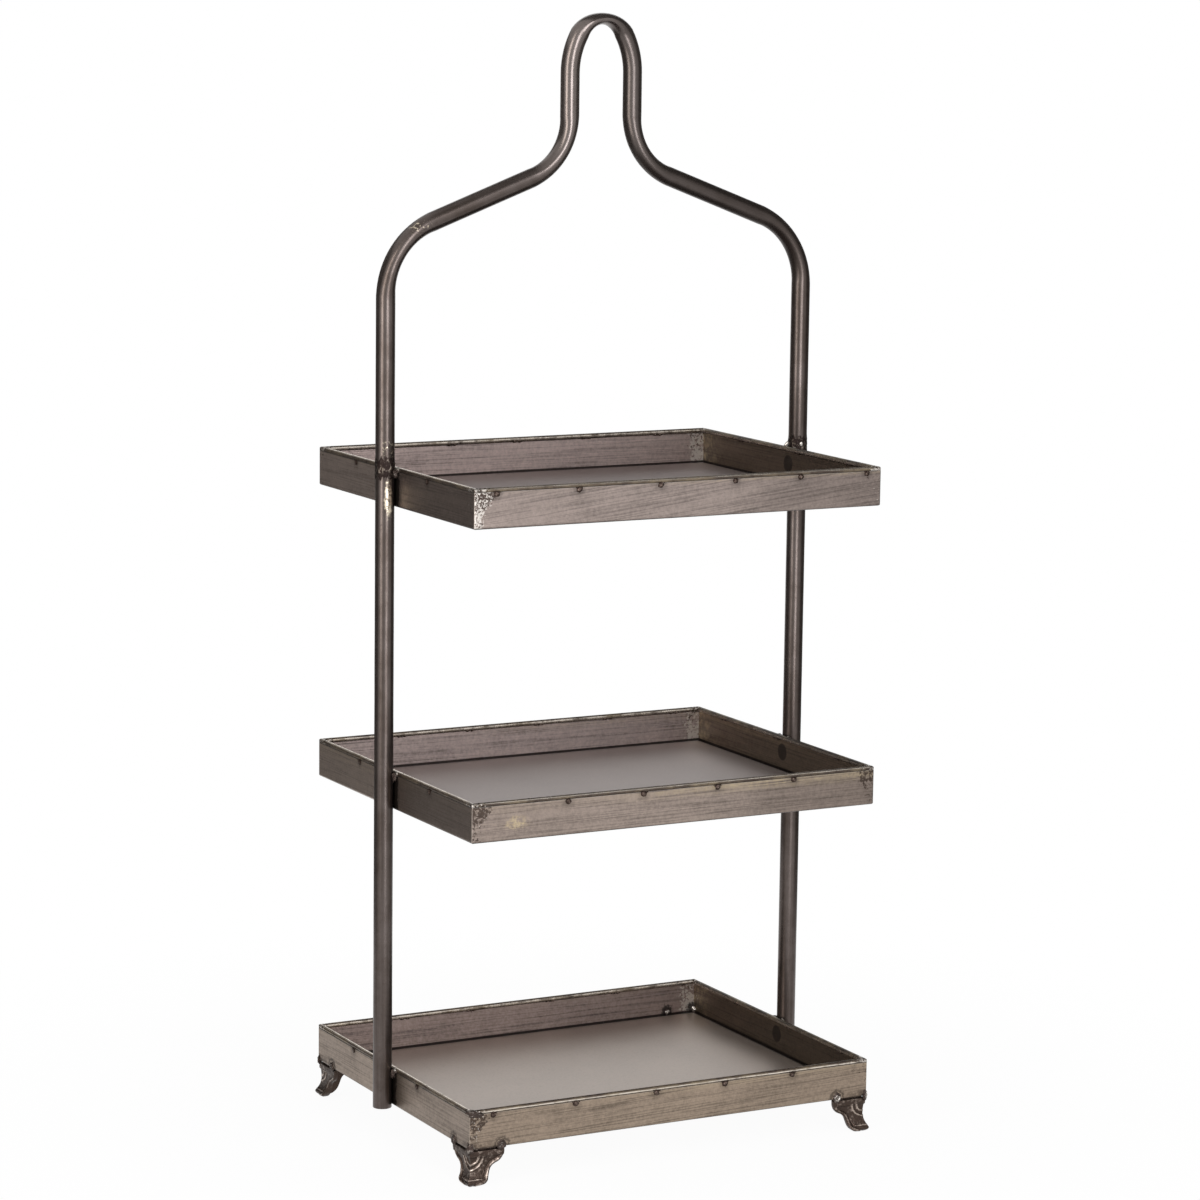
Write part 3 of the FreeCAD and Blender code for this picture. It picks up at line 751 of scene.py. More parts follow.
def rim_steel(name, shade, band, patchy):
    """Round bar with a painted highlight in a band along its crown, and painted shade on the rest of it."""
    made, tree, place = new_metal(f"{name}_rim_steel")
    x, y, z = split(place)
    along, across, half = (y, x, half_depth) if name in ("left", "right") else (x, y, half_length)
    drawn = joined(X=along, Y=across, Z=z)
    lines = use(streaks, Position=drawn, Size=0.0014, Stretch=18.0, Slant=0.0, Seed=RIM_SEED)["Broad"]
    below = minus(RIM_LEVEL, maths("MODULO", z, TRAY_PITCH))
    patches = spots(place, Size=0.011, Cover=0.45, Softness=0.1, Seed=RIM_SEED + 8)
    highest, lowest = band
    # The crown band is a painted highlight; the rest of the bar, with the dark top of the lower front bar,
    # is painted shade.
    crown = times(ramp(below, lowest, lowest - 0.0009), ramp(below, highest - 0.0004, highest + 0.0004),
                  ramp(patches, 0, 1, 1.0, 1.0 - patchy))
    bright = ramp(plus(crown, times(lines, 0.6)), 0.45, 1.45)
    stains = spots(place, Size=0.004, Cover=0.36, Softness=0.08, Seed=RIM_SEED + 4)
    tarnish = spots(place, Size=0.03, Cover=0.4, Softness=0.15, Seed=RIM_SEED + 6)
    corner = end_mask(along, half, RIM_END_REACH)
    dark_bits = spots(place, Size=0.0034, Cover=times(corner, 0.6), Softness=0.03, Seed=RIM_SEED + 10)
    pale_bits = spots(place, Size=0.0028, Cover=times(corner, 0.5), Softness=0.03, Seed=RIM_SEED + 12)
    colour = layered(
        blend(bright, shaded(RIM_SHADE, shade), shaded(RIM_HIGHLIGHT, shade)),
        (times(stains, 0.5), OXIDE),
        (times(tarnish, 0.35), BRASS_HAZE),
        (times(dark_bits, 0.8), OXIDE),
        (times(pale_bits, 0.8), BARE_STEEL),
    )
    rough = ramp(minus(bright, stains), -1, 1, 0.5, 0.26)
    coat(tree, colour, rough, minus(lines, stains), metallic=0.93, strength=0.15, distance=0.0002)
    return made


rims = {name: rim_steel(name, **looks) for name, looks in RIM_LOOKS.items()}
for side in SIDES:
    for tray in TRAYS:
        finish_node(f"{tray}_{side}_rim_bar", rims.get(f"{tray}_{side}", rims[side]))
print("rim materials:", len(rims))

# %% Tubes, with the marks of the grinder by the left joint and scuffs on the left shoulder
PEWTER = ((0.052, 0.039, 0.032, 1), (0.138, 0.115, 0.107, 1))
NECK_SHEEN_PEWTER = (0.23, 0.2, 0.188, 1)
SHADED_PEWTER = (0.036, 0.029, 0.026, 1)
GROUND_STEEL = (0.6, 0.52, 0.40, 1)
NECK_SHEEN_FROM = (0.93, 1.0)
SLOPE_SHADE_FROM = (0.83, 0.88)
GROUND_SCALE = (250.0, 250.0, 56.0)
GROUND_AT = (-0.2322 * 250, -0.0094 * 250, 0.6455 * 56)
GROUND_RADIUS = 1.7
SCUFF_AT = (-0.199, -0.0085, 0.905)
SCUFF_EDGE = (0.014, 0.008)
HEAT_RISE = 0.012
HEAT_EDGE = (0.019, 0.012)
HEAT_FACE = (-0.006, -0.0088)


def point_value(tree, name, output="Fac"):
    """A value that a mesh carries at its points."""
    kept = add(tree, "ShaderNodeAttribute", attribute_name=name, attribute_type="GEOMETRY")
    return kept.outputs[output]


tube_steel, tree, place = new_metal("tube_steel")
x, y, z = split(place)
drawn = point_value(tree, "drawn", "Vector")
lines = use(streaks, Position=drawn, Size=0.0045, Stretch=40.0, Slant=0.0, Seed=70.0)["Broad"]
clouds = spots(place, Size=0.03, Cover=0.5, Softness=0.22, Seed=72.0)
pits = spots(place, Size=0.004, Cover=0.25, Softness=0.06, Seed=74.0)
grains = spots(place, Size=0.0036, Cover=0.5, Softness=0.03, Seed=76.0)
few = spots(place, Size=0.0034, Cover=0.3, Softness=0.04, Seed=78.0)
shade = plus(times(lines, 0.45), times(clouds, 0.45))
# The neck is painted lighter: a painted sheen.
neck_sheen = ramp(z, *NECK_SHEEN_FROM)
# The right slope of the arch is painted darker: painted shade.
right_slope_shade = times(ramp(x, 0.0, 0.02), ramp(z, *SLOPE_SHADE_FROM))

away = distance_to(stretch(place, GROUND_SCALE), GROUND_AT)
ground = use(burnt_spot, Position=place, Distance=away, Radius=GROUND_RADIUS, Seed=71.0)["Core"]
scuffed = ramp(distance_to(place, SCUFF_AT), *SCUFF_EDGE)
from_joint = maths("ABSOLUTE", minus(z, joint_height + HEAT_RISE))
heated = times(ramp(from_joint, *HEAT_EDGE), ramp(y, *HEAT_FACE), ramp(x, 0.0, -0.1))
rubbed = most(times(scuffed, few), times(heated, times(few, 0.8)),
              times(ground, ramp(grains, 0, 1, 0.2, 1.0)))

colour = layered(
    blend(shade, *PEWTER),
    (times(neck_sheen, 0.4), NECK_SHEEN_PEWTER),
    (times(right_slope_shade, 0.5), SHADED_PEWTER),
    (times(pits, 0.25), OXIDE),
    (rubbed, GROUND_STEEL),
)
rough = ramp(minus(shade, times(pits, 0.4)), -1, 1, 0.42, 0.28)
rough = plus(minus(rough, times(neck_sheen, 0.05)), times(right_slope_shade, 0.06))
height = minus(lines, times(pits, 0.6))
coat(tree, colour, rough, height, metallic=0.93, strength=0.06, distance=0.0002)
print("tube steel has", len(tree.nodes), "nodes")

# %% Iron and welds: a value per point says how far it stands out
RAISED = {
    # The crown colour of the iron is partly rubbed wear and partly a painted highlight.
    "cast_iron": {
        "carried": "relief", "hollow": (0.055, 0.038, 0.03, 1), "crown": (0.5, 0.41, 0.35, 1),
        "rise": (0.45, 1.1), "rough": (0.42, 0.22), "worn": 0.1, "breakup": 0.6, "seed": 80.0,
    },
    "joint_steel": {
        "carried": "crown", "hollow": (0.02, 0.013, 0.012, 1), "crown": (0.13, 0.108, 0.09, 1),
        "rise": (0.3, 1.0), "rough": (0.5, 0.3), "worn": 0.1, "breakup": 0.8, "seed": 86.0,
    },
    # The crown colour of weld_steel is a painted highlight on the tops of the beads.
    "weld_steel": {
        "carried": "crown", "hollow": (0.06, 0.044, 0.038, 1), "crown": (0.62, 0.58, 0.53, 1),
        "rise": (0.3, 1.05), "rough": (0.45, 0.22), "worn": 0.15, "breakup": 0.5, "seed": 84.0,
    },
    "tack_braze": {
        "carried": "crown", "hollow": (0.03, 0.018, 0.014, 1), "crown": (0.11, 0.08, 0.066, 1),
        "rise": (0.5, 1.05), "rough": (0.6, 0.35), "worn": 0.1, "breakup": 0.5, "seed": 88.0,
    },
}


def raised_metal(name, carried, hollow, crown, rise, rough, worn, breakup, seed):
    """Metal that is dark in its hollows and bright where the carried value is high, as wear and a painted
    highlight.
    """
    made, tree, place = new_metal(name)
    patches = spots(place, Size=0.005, Cover=0.5, Softness=0.2, Seed=seed)
    grains = spots(place, Size=0.0012, Cover=0.5, Softness=0.2, Seed=seed + 2)
    wear = use(worn_edges, Position=place, Width=0.0007, Raggedness=0.6, Seed=seed)["Wear"]
    ragged = times(minus(patches, 0.5), breakup)
    bright = most(ramp(plus(point_value(tree, carried), ragged), *rise), times(wear, worn))
    colour = blend(times(grains, 0.3), blend(bright, hollow, crown), OXIDE)
    coat(tree, colour, ramp(bright, 0, 1, *rough), grains, metallic=0.9, strength=0.3, distance=0.0003)
    return made


cast_iron, joint_steel, weld_steel, tack_braze = (
    raised_metal(name, **looks) for name, looks in RAISED.items())
print("materials:", len(bpy.data.materials))

# %% [markdown]
# ## A bench for making pieces
#
# Every new piece is a closed mesh made of rings of points: a tube is a row of circles along its
# line, a casting is a row of level outlines. One helper turns rings into faces, and one puts a
# mesh in the scene, turns its normals outwards, softens its shading up to a chosen angle and
# ties it to the one rigid body of the stand.

# %% Keep points in the part's box, loft rings, and place a piece
REACH_X = tube_x + tube_radius
REACH_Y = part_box("back_left_foot")[1].y
REACH_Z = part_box("handle_arch")[1].z


def clamp(value, low=0.0, high=1.0):
    """Keep a number between two others."""
    return max(low, min(high, value))


def inside_box(spot):
    """Keep a point within the outer faces of the tubes and the feet."""
    x, y = clamp(spot.x, -REACH_X, REACH_X), clamp(spot.y, -REACH_Y, REACH_Y)
    return Vector((x, y, min(REACH_Z, spot.z)))


def loft(rings, first=0):
    """Faces between neighbouring rings of equal length, with both ends closed."""
    count = len(rings[0])
    points = [point for ring in rings for point in ring]
    faces = []
    for row in range(len(rings) - 1):
        for i in range(count):
            a = first + row * count + i
            b = first + row * count + (i + 1) % count
            faces.append((a, b, b + count, a + count))
    faces.append(tuple(first + i for i in range(count)))
    faces.append(tuple(first + len(points) - count + i for i in range(count)))
    return points, faces


def piece(name, points, faces, material, slot, sharp=50, **values):
    """Make a mesh piece that rides with the stand; values are one or three numbers per point."""
    data = bpy.data.meshes.new(name)
    data.from_pydata(points, [], faces)
    for label, numbers in values.items():
        kind, slot_name = ("FLOAT", "value") if len(numbers) == len(points) else ("FLOAT_VECTOR", "vector")
        data.attributes.new(label, kind, "POINT").data.foreach_set(slot_name, numbers)
    work = bmesh.new()
    work.from_mesh(data)
    bmesh.ops.recalc_face_normals(work, faces=work.faces)
    work.to_mesh(data)
    work.free()
    data.materials.append(material)
    data.shade_smooth()
    data.set_sharp_from_angle(angle=math.radians(sharp))
    made = bpy.data.objects.new(name, data)
    bpy.context.scene.collection.objects.link(made)
    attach(made, "root")
    return made


# %% [markdown]
# ## Uprights and bent arch
#
# The real arch is one length of tube, bent cold: two wide bends make the shoulders, two more the
# neck, and a last tight one closes the loop of the handle. Bending squeezes a tube, so its
# section turns into an ellipse in each bend, and most of all over the tight top. A bevelled curve
# can't do that, so the tube is lofted: elliptical rings follow straight runs and arcs, and each
# ring knows how flat it is.

# %% Runs of the left half of the arch, in metres, from the joint to the top
SIDES_OF_TUBE = 56
RING_STEP = math.radians(4)
STRAIGHT_STEP = 0.012
BEND_FLATTENING = 0.13
TOP_FLATTENING = 0.4
QUARTER = math.pi / 2
SLOPE = math.radians(20.7)
ARCH_RUNS = (
    ("straight", {"length": 0.1662}), ("bend", {"radius": 0.075, "turn": QUARTER - SLOPE}),
    ("straight", {"length": 0.1153}), ("bend", {"radius": 0.0635, "turn": SLOPE - QUARTER}),
    ("straight", {"length": 0.0425}), ("easy bend", {"radius": 0.077, "turn": QUARTER / 3}),
    ("top", {"radius": 0.02804, "turn": 2 * QUARTER / 3}),
)
print("runs of half the arch:", [kind for kind, run in ARCH_RUNS])


# %% Follow the bends
def sideways(heading):
    """Direction in the plane of the arch, at a right angle to a heading."""
    return Vector((math.cos(heading), 0, -math.sin(heading)))


def flattening(kind, share):
    """How far the tube is flattened at a share of one run."""
    if kind == "bend" and share < 1:
        return BEND_FLATTENING * math.sin(math.pi * share) ** 0.7
    return TOP_FLATTENING * math.sin(QUARTER * share) if kind == "top" else 0.0


def arch_stations():
    """Left half of the arch: (place, heading, flattening) from the joint up to the top."""
    stations = [(Vector((-tube_x, 0, joint_height)), 0.0, 0.0)]
    for kind, run in ARCH_RUNS:
        start, start_heading, _ = stations[-1]
        length, turn = run.get("length", 0), run.get("turn", 0)
        arm = math.copysign(run.get("radius", 0), turn)
        pivot = start + arm * sideways(start_heading)
        steps = math.ceil(length / STRAIGHT_STEP + abs(turn) / RING_STEP)
        for i in range(1, steps + 1):
            heading = start_heading + turn * i / steps
            ahead = length * (i / steps) * Vector((math.sin(heading), 0, math.cos(heading)))
            spot = start + ahead if length else pivot - arm * sideways(heading)
            stations.append((spot, heading, flattening(kind, i / steps)))
    return stations


def tube_ring(place, heading, flat, radius, seed):
    """One elliptical section, a hair uneven as drawn tube is."""
    in_plane = sideways(heading)
    thick = radius * (1 - flat)
    wide = radius * math.sqrt(2 - (1 - flat) ** 2)
    ring = []
    for i in range(SIDES_OF_TUBE):
        angle = 2 * math.pi * i / SIDES_OF_TUBE
        point = place + in_plane * thick * math.cos(angle) + Vector((0, wide * math.sin(angle), 0))
        dent = 0.012 * (0.5 + 0.5 * noise.noise(point * 28 + Vector((seed, 0, 0))))
        ring.append(inside_box(place + (point - place) * (1 - dent)))
    return ring


def drawn_places(rings, radius):
    """For each point of a tube: how far along the tube, and where on its section."""
    numbers, along = [], 0.0
    for row, ring in enumerate(rings):
        if row:
            along += (sum(ring, Vector()) - sum(rings[row - 1], Vector())).length / SIDES_OF_TUBE
        for i in range(SIDES_OF_TUBE):
            angle = 2 * math.pi * i / SIDES_OF_TUBE
            numbers += [along, radius * math.cos(angle), radius * math.sin(angle)]
    return numbers


left_half = arch_stations()
right_half = [(Vector((-p.x, p.y, p.z)), math.pi - h, f) for p, h, f in reversed(left_half[:-1])]
arch_line = left_half + right_half
rings = [tube_ring(*station, tube_radius, 3.0) for station in arch_line]
points, faces = loft(rings)
arch = piece("handle_arch_tube", points, faces, tube_steel, "frame_tube",
             drawn=drawn_places(rings, tube_radius))
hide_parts("handle_arch")

# %% Straight uprights, open at the foot
BORE_SHARE = 0.83
BORE_DEPTH = 0.12
FOOT_RINGS = ((0.98, 0), (BORE_SHARE + 0.02, 0), (BORE_SHARE, 0.0004), (BORE_SHARE, BORE_DEPTH))

for side, sign in (("left", -1), ("right", 1)):
    levels = [joint_height]
    while levels[-1] - STRAIGHT_STEP > tube_bottom:
        levels.append(levels[-1] - STRAIGHT_STEP)
    levels.append(tube_bottom + 0.0004)
    axis = [Vector((sign * tube_x, 0, z)) for z in levels]
    rings = [tube_ring(place, 0, 0, tube_radius, 7.0 + sign) for place in axis]
    for share, rise in FOOT_RINGS:
        place = Vector((sign * tube_x, 0, tube_bottom + rise))
        rings.append(tube_ring(place, 0, 0, tube_radius * share, 7.0 + sign))
    points, faces = loft(rings)
    tube = piece(f"{side}_upright_tube", points, faces, tube_steel, "frame_tube",
                 drawn=drawn_places(rings, tube_radius))
    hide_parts(f"{side}_upright")
print("uprights:", round(joint_height - tube_bottom, 4), "m long")

# %% [markdown]
# ## Weld beads
#
# A bead is a drop of metal that froze while it was still moving: rounded, rippled, never quite
# round. Each one starts as a ball of small triangles, is squeezed to the size of the bead, and
# is pushed about by noise. How far a point stands out is kept as its crown value, which the
# material uses for a painted highlight on the tops and to burn the edges.

# %% Lumpy drops of weld metal
class Drops:
    """Collects drops of metal that end up in one mesh."""

    def __init__(self):
        self.points, self.faces, self.crown = [], [], []

    def add(self, centre, outward, along, size, seed, ragged=0.25, ripple=0.0, shine=1.0):
        """A drop of size (along, across, out); ripple adds frozen rings, shine scales the crown value and
        its painted highlight.
        """
        outward = Vector(outward).normalized()
        along = (Vector(along) - outward * outward.dot(Vector(along))).normalized()
        across = outward.cross(along)
        ball = bmesh.new()
        bmesh.ops.create_icosphere(ball, subdivisions=4, radius=1)
        first = len(self.points)
        for vertex in ball.verts:
            p = vertex.co
            lump = 1 + ragged * noise.fractal(p * 1.6 + Vector((seed, seed * 0.7, 0)), 1.0, 2.0, 3)
            reach = math.hypot(p.x, p.y)
            out = p.z * lump + ripple * math.cos(reach * 11) * max(p.z, 0)
            spot = Vector(centre) + along * (p.x * lump * size[0])
            spot += across * (p.y * lump * size[1])
            self.points.append(inside_box(spot + outward * (out * size[2])))
            self.crown.append(clamp(out) * shine)
        self.faces += [tuple(first + v.index for v in face.verts) for face in ball.faces]
        ball.free()

    def make(self, name, material):
        """Put all drops in the scene as one piece."""
        print(name, "has", len(self.points), "points")
        return piece(name, self.points, self.faces, material, "weld_metal", 180, crown=self.crown)


# %% Beads where the uprights meet the trays
UP = (0, 0, 1)
WEDGE = {"size": (0.0046, 0.0026, 0.0024), "ragged": 0.45, "ripple": 0.1, "shine": 0.3}
TOP_BEAD = {"size": (0.0034, 0.0020, 0.0018), "ragged": 0.5, "ripple": 0.1}
FIN = {"size": (0.0046, 0.0016, 0.0014), "ragged": 0.3, "seed": 91}
SPATTER = {"size": (0.0024, 0.0022, 0.0013), "ragged": 0.2, "shine": 1.4, "seed": 92}

for t, tray in enumerate(TRAYS):
    drops = Drops()
    top = rim_top[tray]
    for sx in (-1, 1):
        for sy in (-1, 1):
            seed = 10 * t + 3 * sx + sy
            beside_tube = Vector((sx * (half_length + 0.0018), sy * 0.0082, top - 0.0055))
            drops.add(beside_tube, (sx * 0.4, sy, 0), UP, seed=seed, **WEDGE)
            on_rim = Vector((sx * (half_length + 0.0002), sy * 0.0098, top - 0.0022))
            drops.add(on_rim, (0, sy * 0.4, 1), (0, 1, 0), seed=seed + 50, **TOP_BEAD)
    if tray == "upper":
        by_tube = Vector((half_length - 0.0003, 0.0045, top + 0.0022))
        drops.add(by_tube, (-0.47, -0.88, 0), (0.7, 0, 0.7), **FIN)
        drops.add(Vector((tube_x - 0.0011, -0.0094, top + 0.003)), (-0.12, -0.99, 0), UP, **SPATTER)
    beads = drops.make(f"{tray}_tube_weld_beads", weld_steel)
    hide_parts(f"{tray}_tube_welds")

# %% Ground and pitted bands over the joints between uprights and arch
BAND_HALF = 0.0145
BAND_ROWS = 34
points, faces, crown = [], [], []
for sign in (-1, 1):
    rings = []
    for row in range(BAND_ROWS + 1):
        share = 2 * row / BAND_ROWS - 1
        z = joint_height + share * BAND_HALF
        ring = []
        for i in range(2 * SIDES_OF_TUBE):
            angle = math.pi * i / SIDES_OF_TUBE
            way = Vector((math.cos(angle), math.sin(angle), 0))
            rough = noise.fractal(Vector((way.x * 3.8, way.y * 3.8 + 9 * sign, share * 4.6)), 1.0, 2.1, 4)
            shore = noise.fractal(Vector((way.x * 2.4, way.y * 2.4, share + 5 * sign)), 1.0, 2.0, 4)
            body = max(0.0, 1 - abs(share * (1 + 0.9 * abs(shore))) ** 3)
            lift = body * (0.00025 + 0.0008 * max(0.0, rough)) - 0.0003 * (1 - body)
            ring.append(inside_box(Vector((sign * tube_x, 0, z)) + way * (tube_radius + lift)))
            crown.append(clamp(0.38 + 1.5 * rough) * body)
        rings.append(ring)
    more_points, more_faces = loft(rings, len(points))
    points += more_points
    faces += more_faces
bands = piece("butt_weld_bands", points, faces, joint_steel, "weld_metal", 60, crown=crown)
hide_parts("arch_butt_welds")
print("butt weld bands:", len(points), "points")

# %% [markdown]
# ## Cast corner feet
#
# Each foot is a small iron casting with two wings at a right angle. A wing has a plain band on
# top, then a hollow face framed by a raised bead that follows its ogee edge, with two fan-like
# arcs and a line over the toe. The mesh is lofted from level outlines. Every point of a face
# knows its place on the wing, so the ornament is real relief: it is pushed out or in by a
# distance worked out from the edge, the arcs and the toe line.

# %% Side view of a wing, in millimetres: how far its face lies behind the tray's edge
FACE = ((0, 1.0), (0.8, -0.4), (2, -1.75), (3.6, -2.35), (5.2, -1.95), (7, -0.7), (12, 1.5), (18, 2.5),
        (24, 2.3), (27.4, 1.9), (28.4, 1.0), (33.7, 1.0), (34.2, 1.5), (34.6, 3.0), (36, 3.6))
BACK = ((0, 4.6), (4, 5.2), (12, 6.1), (28, 5.2), (36, 5.2))
FOOT_TOP = 36.0
WING = 38.0
TOE_SLANT = math.radians(21)
BEND_STEPS = 18
OGEE = ((4, 12, 70), (1, 11, -49), (6.5, None, 69))


def along_table(table, x):
    """Smooth line through a table of points, by cubic pieces."""
    for i in range(len(table) - 1):
        (x0, y0), (x1, y1) = table[i], table[i + 1]
        if x <= x1 or i == len(table) - 2:
            before, after = table[max(i - 1, 0)], table[min(i + 2, len(table) - 1)]
            s0 = (y1 - before[1]) / max(x1 - before[0], 1e-6)
            s1 = (after[1] - y0) / max(after[0] - x0, 1e-6)
            t, h = (x - x0) / (x1 - x0), x1 - x0
            return (y0 * (1 + 2 * t) * (1 - t) ** 2 + s0 * h * t * (1 - t) ** 2
                    + y1 * t * t * (3 - 2 * t) + s1 * h * t * t * (t - 1))


def ogee_edge():
    """The wing's edge from under the band to the ground, as (along, height) points."""
    along, height, heading = WING, FOOT_TOP, math.pi
    line = [(along, height)]
    for length, radius, turn in OGEE:
        along += length * math.sin(heading)
        height += length * math.cos(heading)
        line.append((along, height))
        arm = math.copysign(radius or height / (1 - math.sin(TOE_SLANT)), turn)
        pivot_a = along + arm * math.cos(heading)
        pivot_h = height - arm * math.sin(heading)
        for i in range(1, BEND_STEPS + 1):
            now = heading + math.radians(turn) * i / BEND_STEPS
            line.append((pivot_a - arm * math.cos(now), pivot_h + arm * math.sin(now)))
        heading += math.radians(turn)
        along, height = line[-1]
    return line


edge_line = ogee_edge()
print("ogee ends at", [round(v, 2) for v in edge_line[-1]], "with", len(edge_line), "points")


# %% Relief of the casting
ARCS = ((10.5, 7.0), (15.5, 12.0))
ARC_TOP = 27.4
TOE_LINE = 6.8


def hump(distance, width):
    """A rounded ridge: 1 on its line, falling off over its width."""
    return math.exp(-((distance / width) ** 2))


def edge_distance(a, h):
    """How far a point of the wing lies from its ogee edge, in millimetres."""
    best = 1e9
    for (a0, h0), (a1, h1) in zip(edge_line, edge_line[1:]):
        da, dh = a1 - a0, h1 - h0
        length = max(da * da + dh * dh, 1e-9)
        t = clamp(((a - a0) * da + (h - h0) * dh) / length)
        best = min(best, math.hypot(a - a0 - t * da, h - h0 - t * dh))
    return best


def relief_at(a, h, seed):
    """How far the casting stands out at a point of its face, in millimetres, and how bright it shows, as
    rubbed wear and a painted highlight.
    """
    rough = 0.16 * noise.fractal(Vector((a * 0.32, h * 0.32, seed)), 1.0, 2.0, 3)
    if h > ARC_TOP + 1:
        plain = rough + 0.12 * noise.noise(Vector((a * 0.12, h * 0.5, seed + 4)))
        return plain, plain
    edge = edge_distance(a, h)
    inner = clamp((edge - 3.6) / 1.2)
    height = 0.95 * hump(edge - 1.7, 1.25) - 0.6 * hump(edge - 4.3, 0.8)
    for wide, tall in ARCS:
        off = (math.hypot(a / wide, (ARC_TOP - h) / tall) - 1) * tall
        height += inner * (0.8 * hump(off, 0.85) - 0.45 * hump(off + 1.9, 0.7))
    if h < 11:
        height += inner * (0.7 * hump(h - TOE_LINE, 0.6) - 0.5 * hump(h - TOE_LINE + 1.5, 0.6))
    knob, dimple = math.hypot(a - 16.6, h - 12.6), math.hypot(a - 14.8, h - 12.2)
    height += 0.7 * hump(knob, 0.9) - 0.7 * hump(dimple, 0.9)
    return height + rough, height + rough - 0.55 * hump(edge - 1.0, 1.5)


# %% Loft the four castings
ROWS = 84
FACE_COLUMNS = 36
END_COLUMNS = 4
CORNERS = {"front_left": (-1, -1), "front_right": (1, -1), "back_right": (1, 1), "back_left": (-1, 1)}


def wing_half(h, seed):
    """Half of a level outline, from the ridge to the inner corner, as (along, depth, rubbed)."""
    depth, inner = along_table(FACE, h), along_table(BACK, h)
    reach = next(a0 + (a1 - a0) * (h0 - h) / max(h0 - h1, 1e-6)
                 for (a0, h0), (a1, h1) in zip(edge_line, edge_line[1:]) if h1 <= h + 1e-6)
    reach = max(reach, inner + 1.0)
    half = []
    for i in range(FACE_COLUMNS + 1):
        a = depth + (reach - depth) * (i / FACE_COLUMNS) ** 0.85
        height, rubbed = relief_at(a, h, seed)
        height *= min(1.0, 0.25 + i / 5)
        half.append((a if i else depth - height, depth - height, rubbed))
    for i in range(1, END_COLUMNS + 1):
        share = i / (END_COLUMNS + 1)
        bulge = 0.25 * math.sin(math.pi * share)
        half.append((reach + bulge, depth - height * (1 - share) + (inner - depth) * share, -0.1))
    half += [(reach, inner, -0.3), ((reach + inner) / 2, inner, -0.4), (inner, inner, -0.4)]
    return half


for c, (corner, (sx, sy)) in enumerate(CORNERS.items()):
    rings, relief = [], []
    for row in range(ROWS + 1):
        h = FOOT_TOP * (1 - row / ROWS)
        first_wing, second_wing = wing_half(h, 5.0 * c), wing_half(h, 5.0 * c + 2.5)
        first_wing[0] = second_wing[0]
        outline = first_wing + [(d, a, r) for a, d, r in reversed(second_wing[1:-1])]
        rings.append([inside_box(Vector((sx * (half_length - x * MM), sy * (half_depth - y * MM), h * MM)))
                      for x, y, _ in outline])
        # The relief value brightens raised iron: partly rubbed wear, partly a painted highlight.
        relief += [0.45 + 0.62 * r for _, _, r in outline]
    points, faces = loft(rings)
    foot = piece(f"{corner}_bracket_foot", points, faces, cast_iron, "cast_iron", 70, relief=relief)
    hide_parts(f"{corner}_foot")
print("foot points:", len(points))

# %% [markdown]
# ## Small welds that only show as marks
#
# Three beads hold each foot: one over the corner and one at the end of each wing, rippled and
# surrounded by a burnt ring. Inside the tray the same heat has left small bright heads. A flat
# bead closes each mitre of the rim bars. Under every rim bar, pairs of brown braze drops hold
# the bar to the sheet, and outside each pair a dark spot has burnt through.

# %% Beads round the feet, and heads inside the tray above them
CORNER_BEAD = {"size": (0.0050, 0.0034, 0.0022), "ragged": 0.45, "ripple": 0.1}
WING_BEAD = {"size": (0.0046, 0.0048, 0.0014), "ragged": 0.3, "ripple": 0.35}
WING_HEAD = {"size": (0.0034, 0.0030, 0.0018), "ragged": 0.3, "ripple": 0.1, "shine": 0.8}
CORNER_HEAD = {"size": (0.0034, 0.0028, 0.0022), "ragged": 0.35}
HEAD_INSET = 0.0012
# The beads of this foot get a stronger painted highlight.
SHINY_FOOT = "front_right"
ALONG_X = Vector((1, 0, 0))
ALONG_Y = Vector((0, 1, 0))

drops = Drops()
heads = Drops()
for c, (corner, (sx, sy)) in enumerate(CORNERS.items()):
    shiny = corner == SHINY_FOOT
    post = Vector((sx * half_length, sy * half_depth, tray_base["lower"]))
    outside = post + Vector((-sx * 0.0012, -sy * 0.0012, 0.0012))
    drops.add(outside, (sx, sy, 0), UP, seed=200 + c, shine=0.9 if shiny else 0.4, **CORNER_BEAD)
    long_side, short_side = sx * ALONG_X, sy * ALONG_Y
    for along, outward, seed in ((long_side, short_side, 210 + c), (short_side, long_side, 220 + c)):
        shine = 0.75 if shiny and along is long_side else 0.42
        spot = post - along * FOOT_WELD_REACH + outward * 0.0001 + Vector((0, 0, FOOT_WELD_RISE))
        drops.add(spot, outward, along, seed=seed, shine=shine, **WING_BEAD)
        if along is long_side:
            head = post - along * FOOT_WELD_REACH - outward * HEAD_INSET + Vector((0, 0, HEAD_RISE))
            heads.add(head, -outward, along, seed=seed + 30, **WING_HEAD)
    inside = post + Vector((-sx * 0.0022, -sy * 0.0022, 0.006))
    heads.add(inside, (-sx, -sy, 0), UP, seed=240 + c, **CORNER_HEAD)
foot_beads = drops.make("foot_weld_beads", weld_steel)
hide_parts("foot_welds")
heads.make("inner_weld_heads", weld_steel)

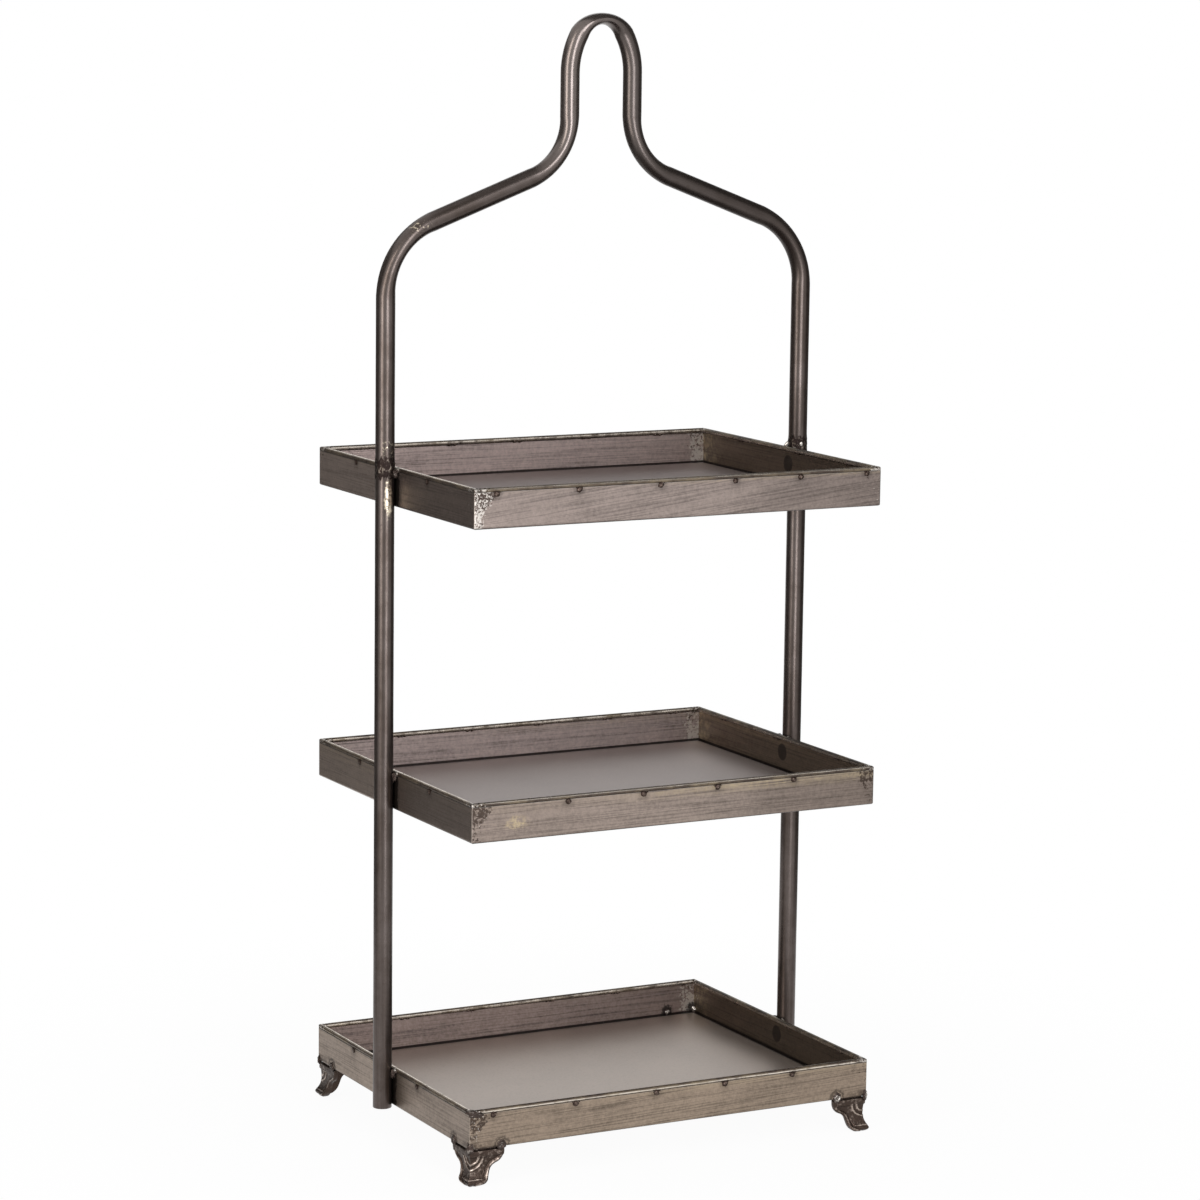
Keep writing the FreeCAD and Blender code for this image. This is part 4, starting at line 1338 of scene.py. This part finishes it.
# %% Beads over the mitres of the rim bars, as (size, inset); one proud bead hangs down in front
FLAT_BEAD = ((0.0030, 0.0024, 0.0010), 0.0026)
PROUD_BEAD = ((0.0050, 0.0034, 0.0019), 0.0022)
HANGING_BEAD = {"size": (0.0075, 0.0026, 0.0014), "ragged": 0.5, "shine": 0.4}
PROUD_CORNERS = (("lower", "front_left"),)

corners = Drops()
for t, tray in enumerate(TRAYS):
    for c, (corner, (sx, sy)) in enumerate(CORNERS.items()):
        proud = (tray, corner) in PROUD_CORNERS
        size, inset = PROUD_BEAD if proud else FLAT_BEAD
        seed = 600 + 10 * t + c
        spot = Vector((sx * (half_length - inset), sy * (half_depth - inset), rim_top[tray] - 0.0019))
        corners.add(spot, (sx * 0.3, sy * 0.3, 1), (-sx, sy, 0), size, seed, ragged=0.45, shine=0.5)
        if proud:
            length = HANGING_BEAD["size"][0]
            hanging = Vector((sx * (half_length - length), sy * half_depth, rim_top[tray] - 0.0042))
            corners.add(hanging, (0, sy, 0), (1, 0, 0), seed=seed + 40, **HANGING_BEAD)
corners.make("rim_corner_beads", weld_steel)

# %% Braze drops under the rims, and the burnt spots outside them
OUTWARD = {"front": -ALONG_Y, "right": ALONG_X, "back": ALONG_Y, "left": -ALONG_X}
OUTER_SPOT = {"size": (0.0030, 0.0027, 0.0011), "ragged": 0.35}
INNER_DROP = {"size": (0.0026, 0.0017, 0.0022), "ragged": 0.4}
DROP_SHIFT = 0.003
DROP_INSET = 0.0022
DROP_RISE = 0.0018

outer = Drops()
inner = Drops()
for t, tray in enumerate(TRAYS):
    for s, side in enumerate(SIDES):
        outward = OUTWARD[side]
        along, reach = (ALONG_X, half_depth) if side in ("front", "back") else (ALONG_Y, half_length)
        for k, place in enumerate(TACKS[tray][side]):
            seed = 300 + 40 * t + 10 * s + k
            level = Vector((0, 0, tray_base[tray] + TACK_HEIGHT * MM))
            spot = outward * reach + along * place * MM + level
            outer.add(spot, outward, along, seed=seed, **OUTER_SPOT)
            for shift in (-DROP_SHIFT, DROP_SHIFT):
                drop = spot - outward * DROP_INSET + along * shift + Vector((0, 0, DROP_RISE))
                inner.add(drop, -outward, along, seed=seed + shift * 900, **INNER_DROP)
outer.make("outer_braze_spots", tack_braze)
inner.make("inner_braze_drops", tack_braze)
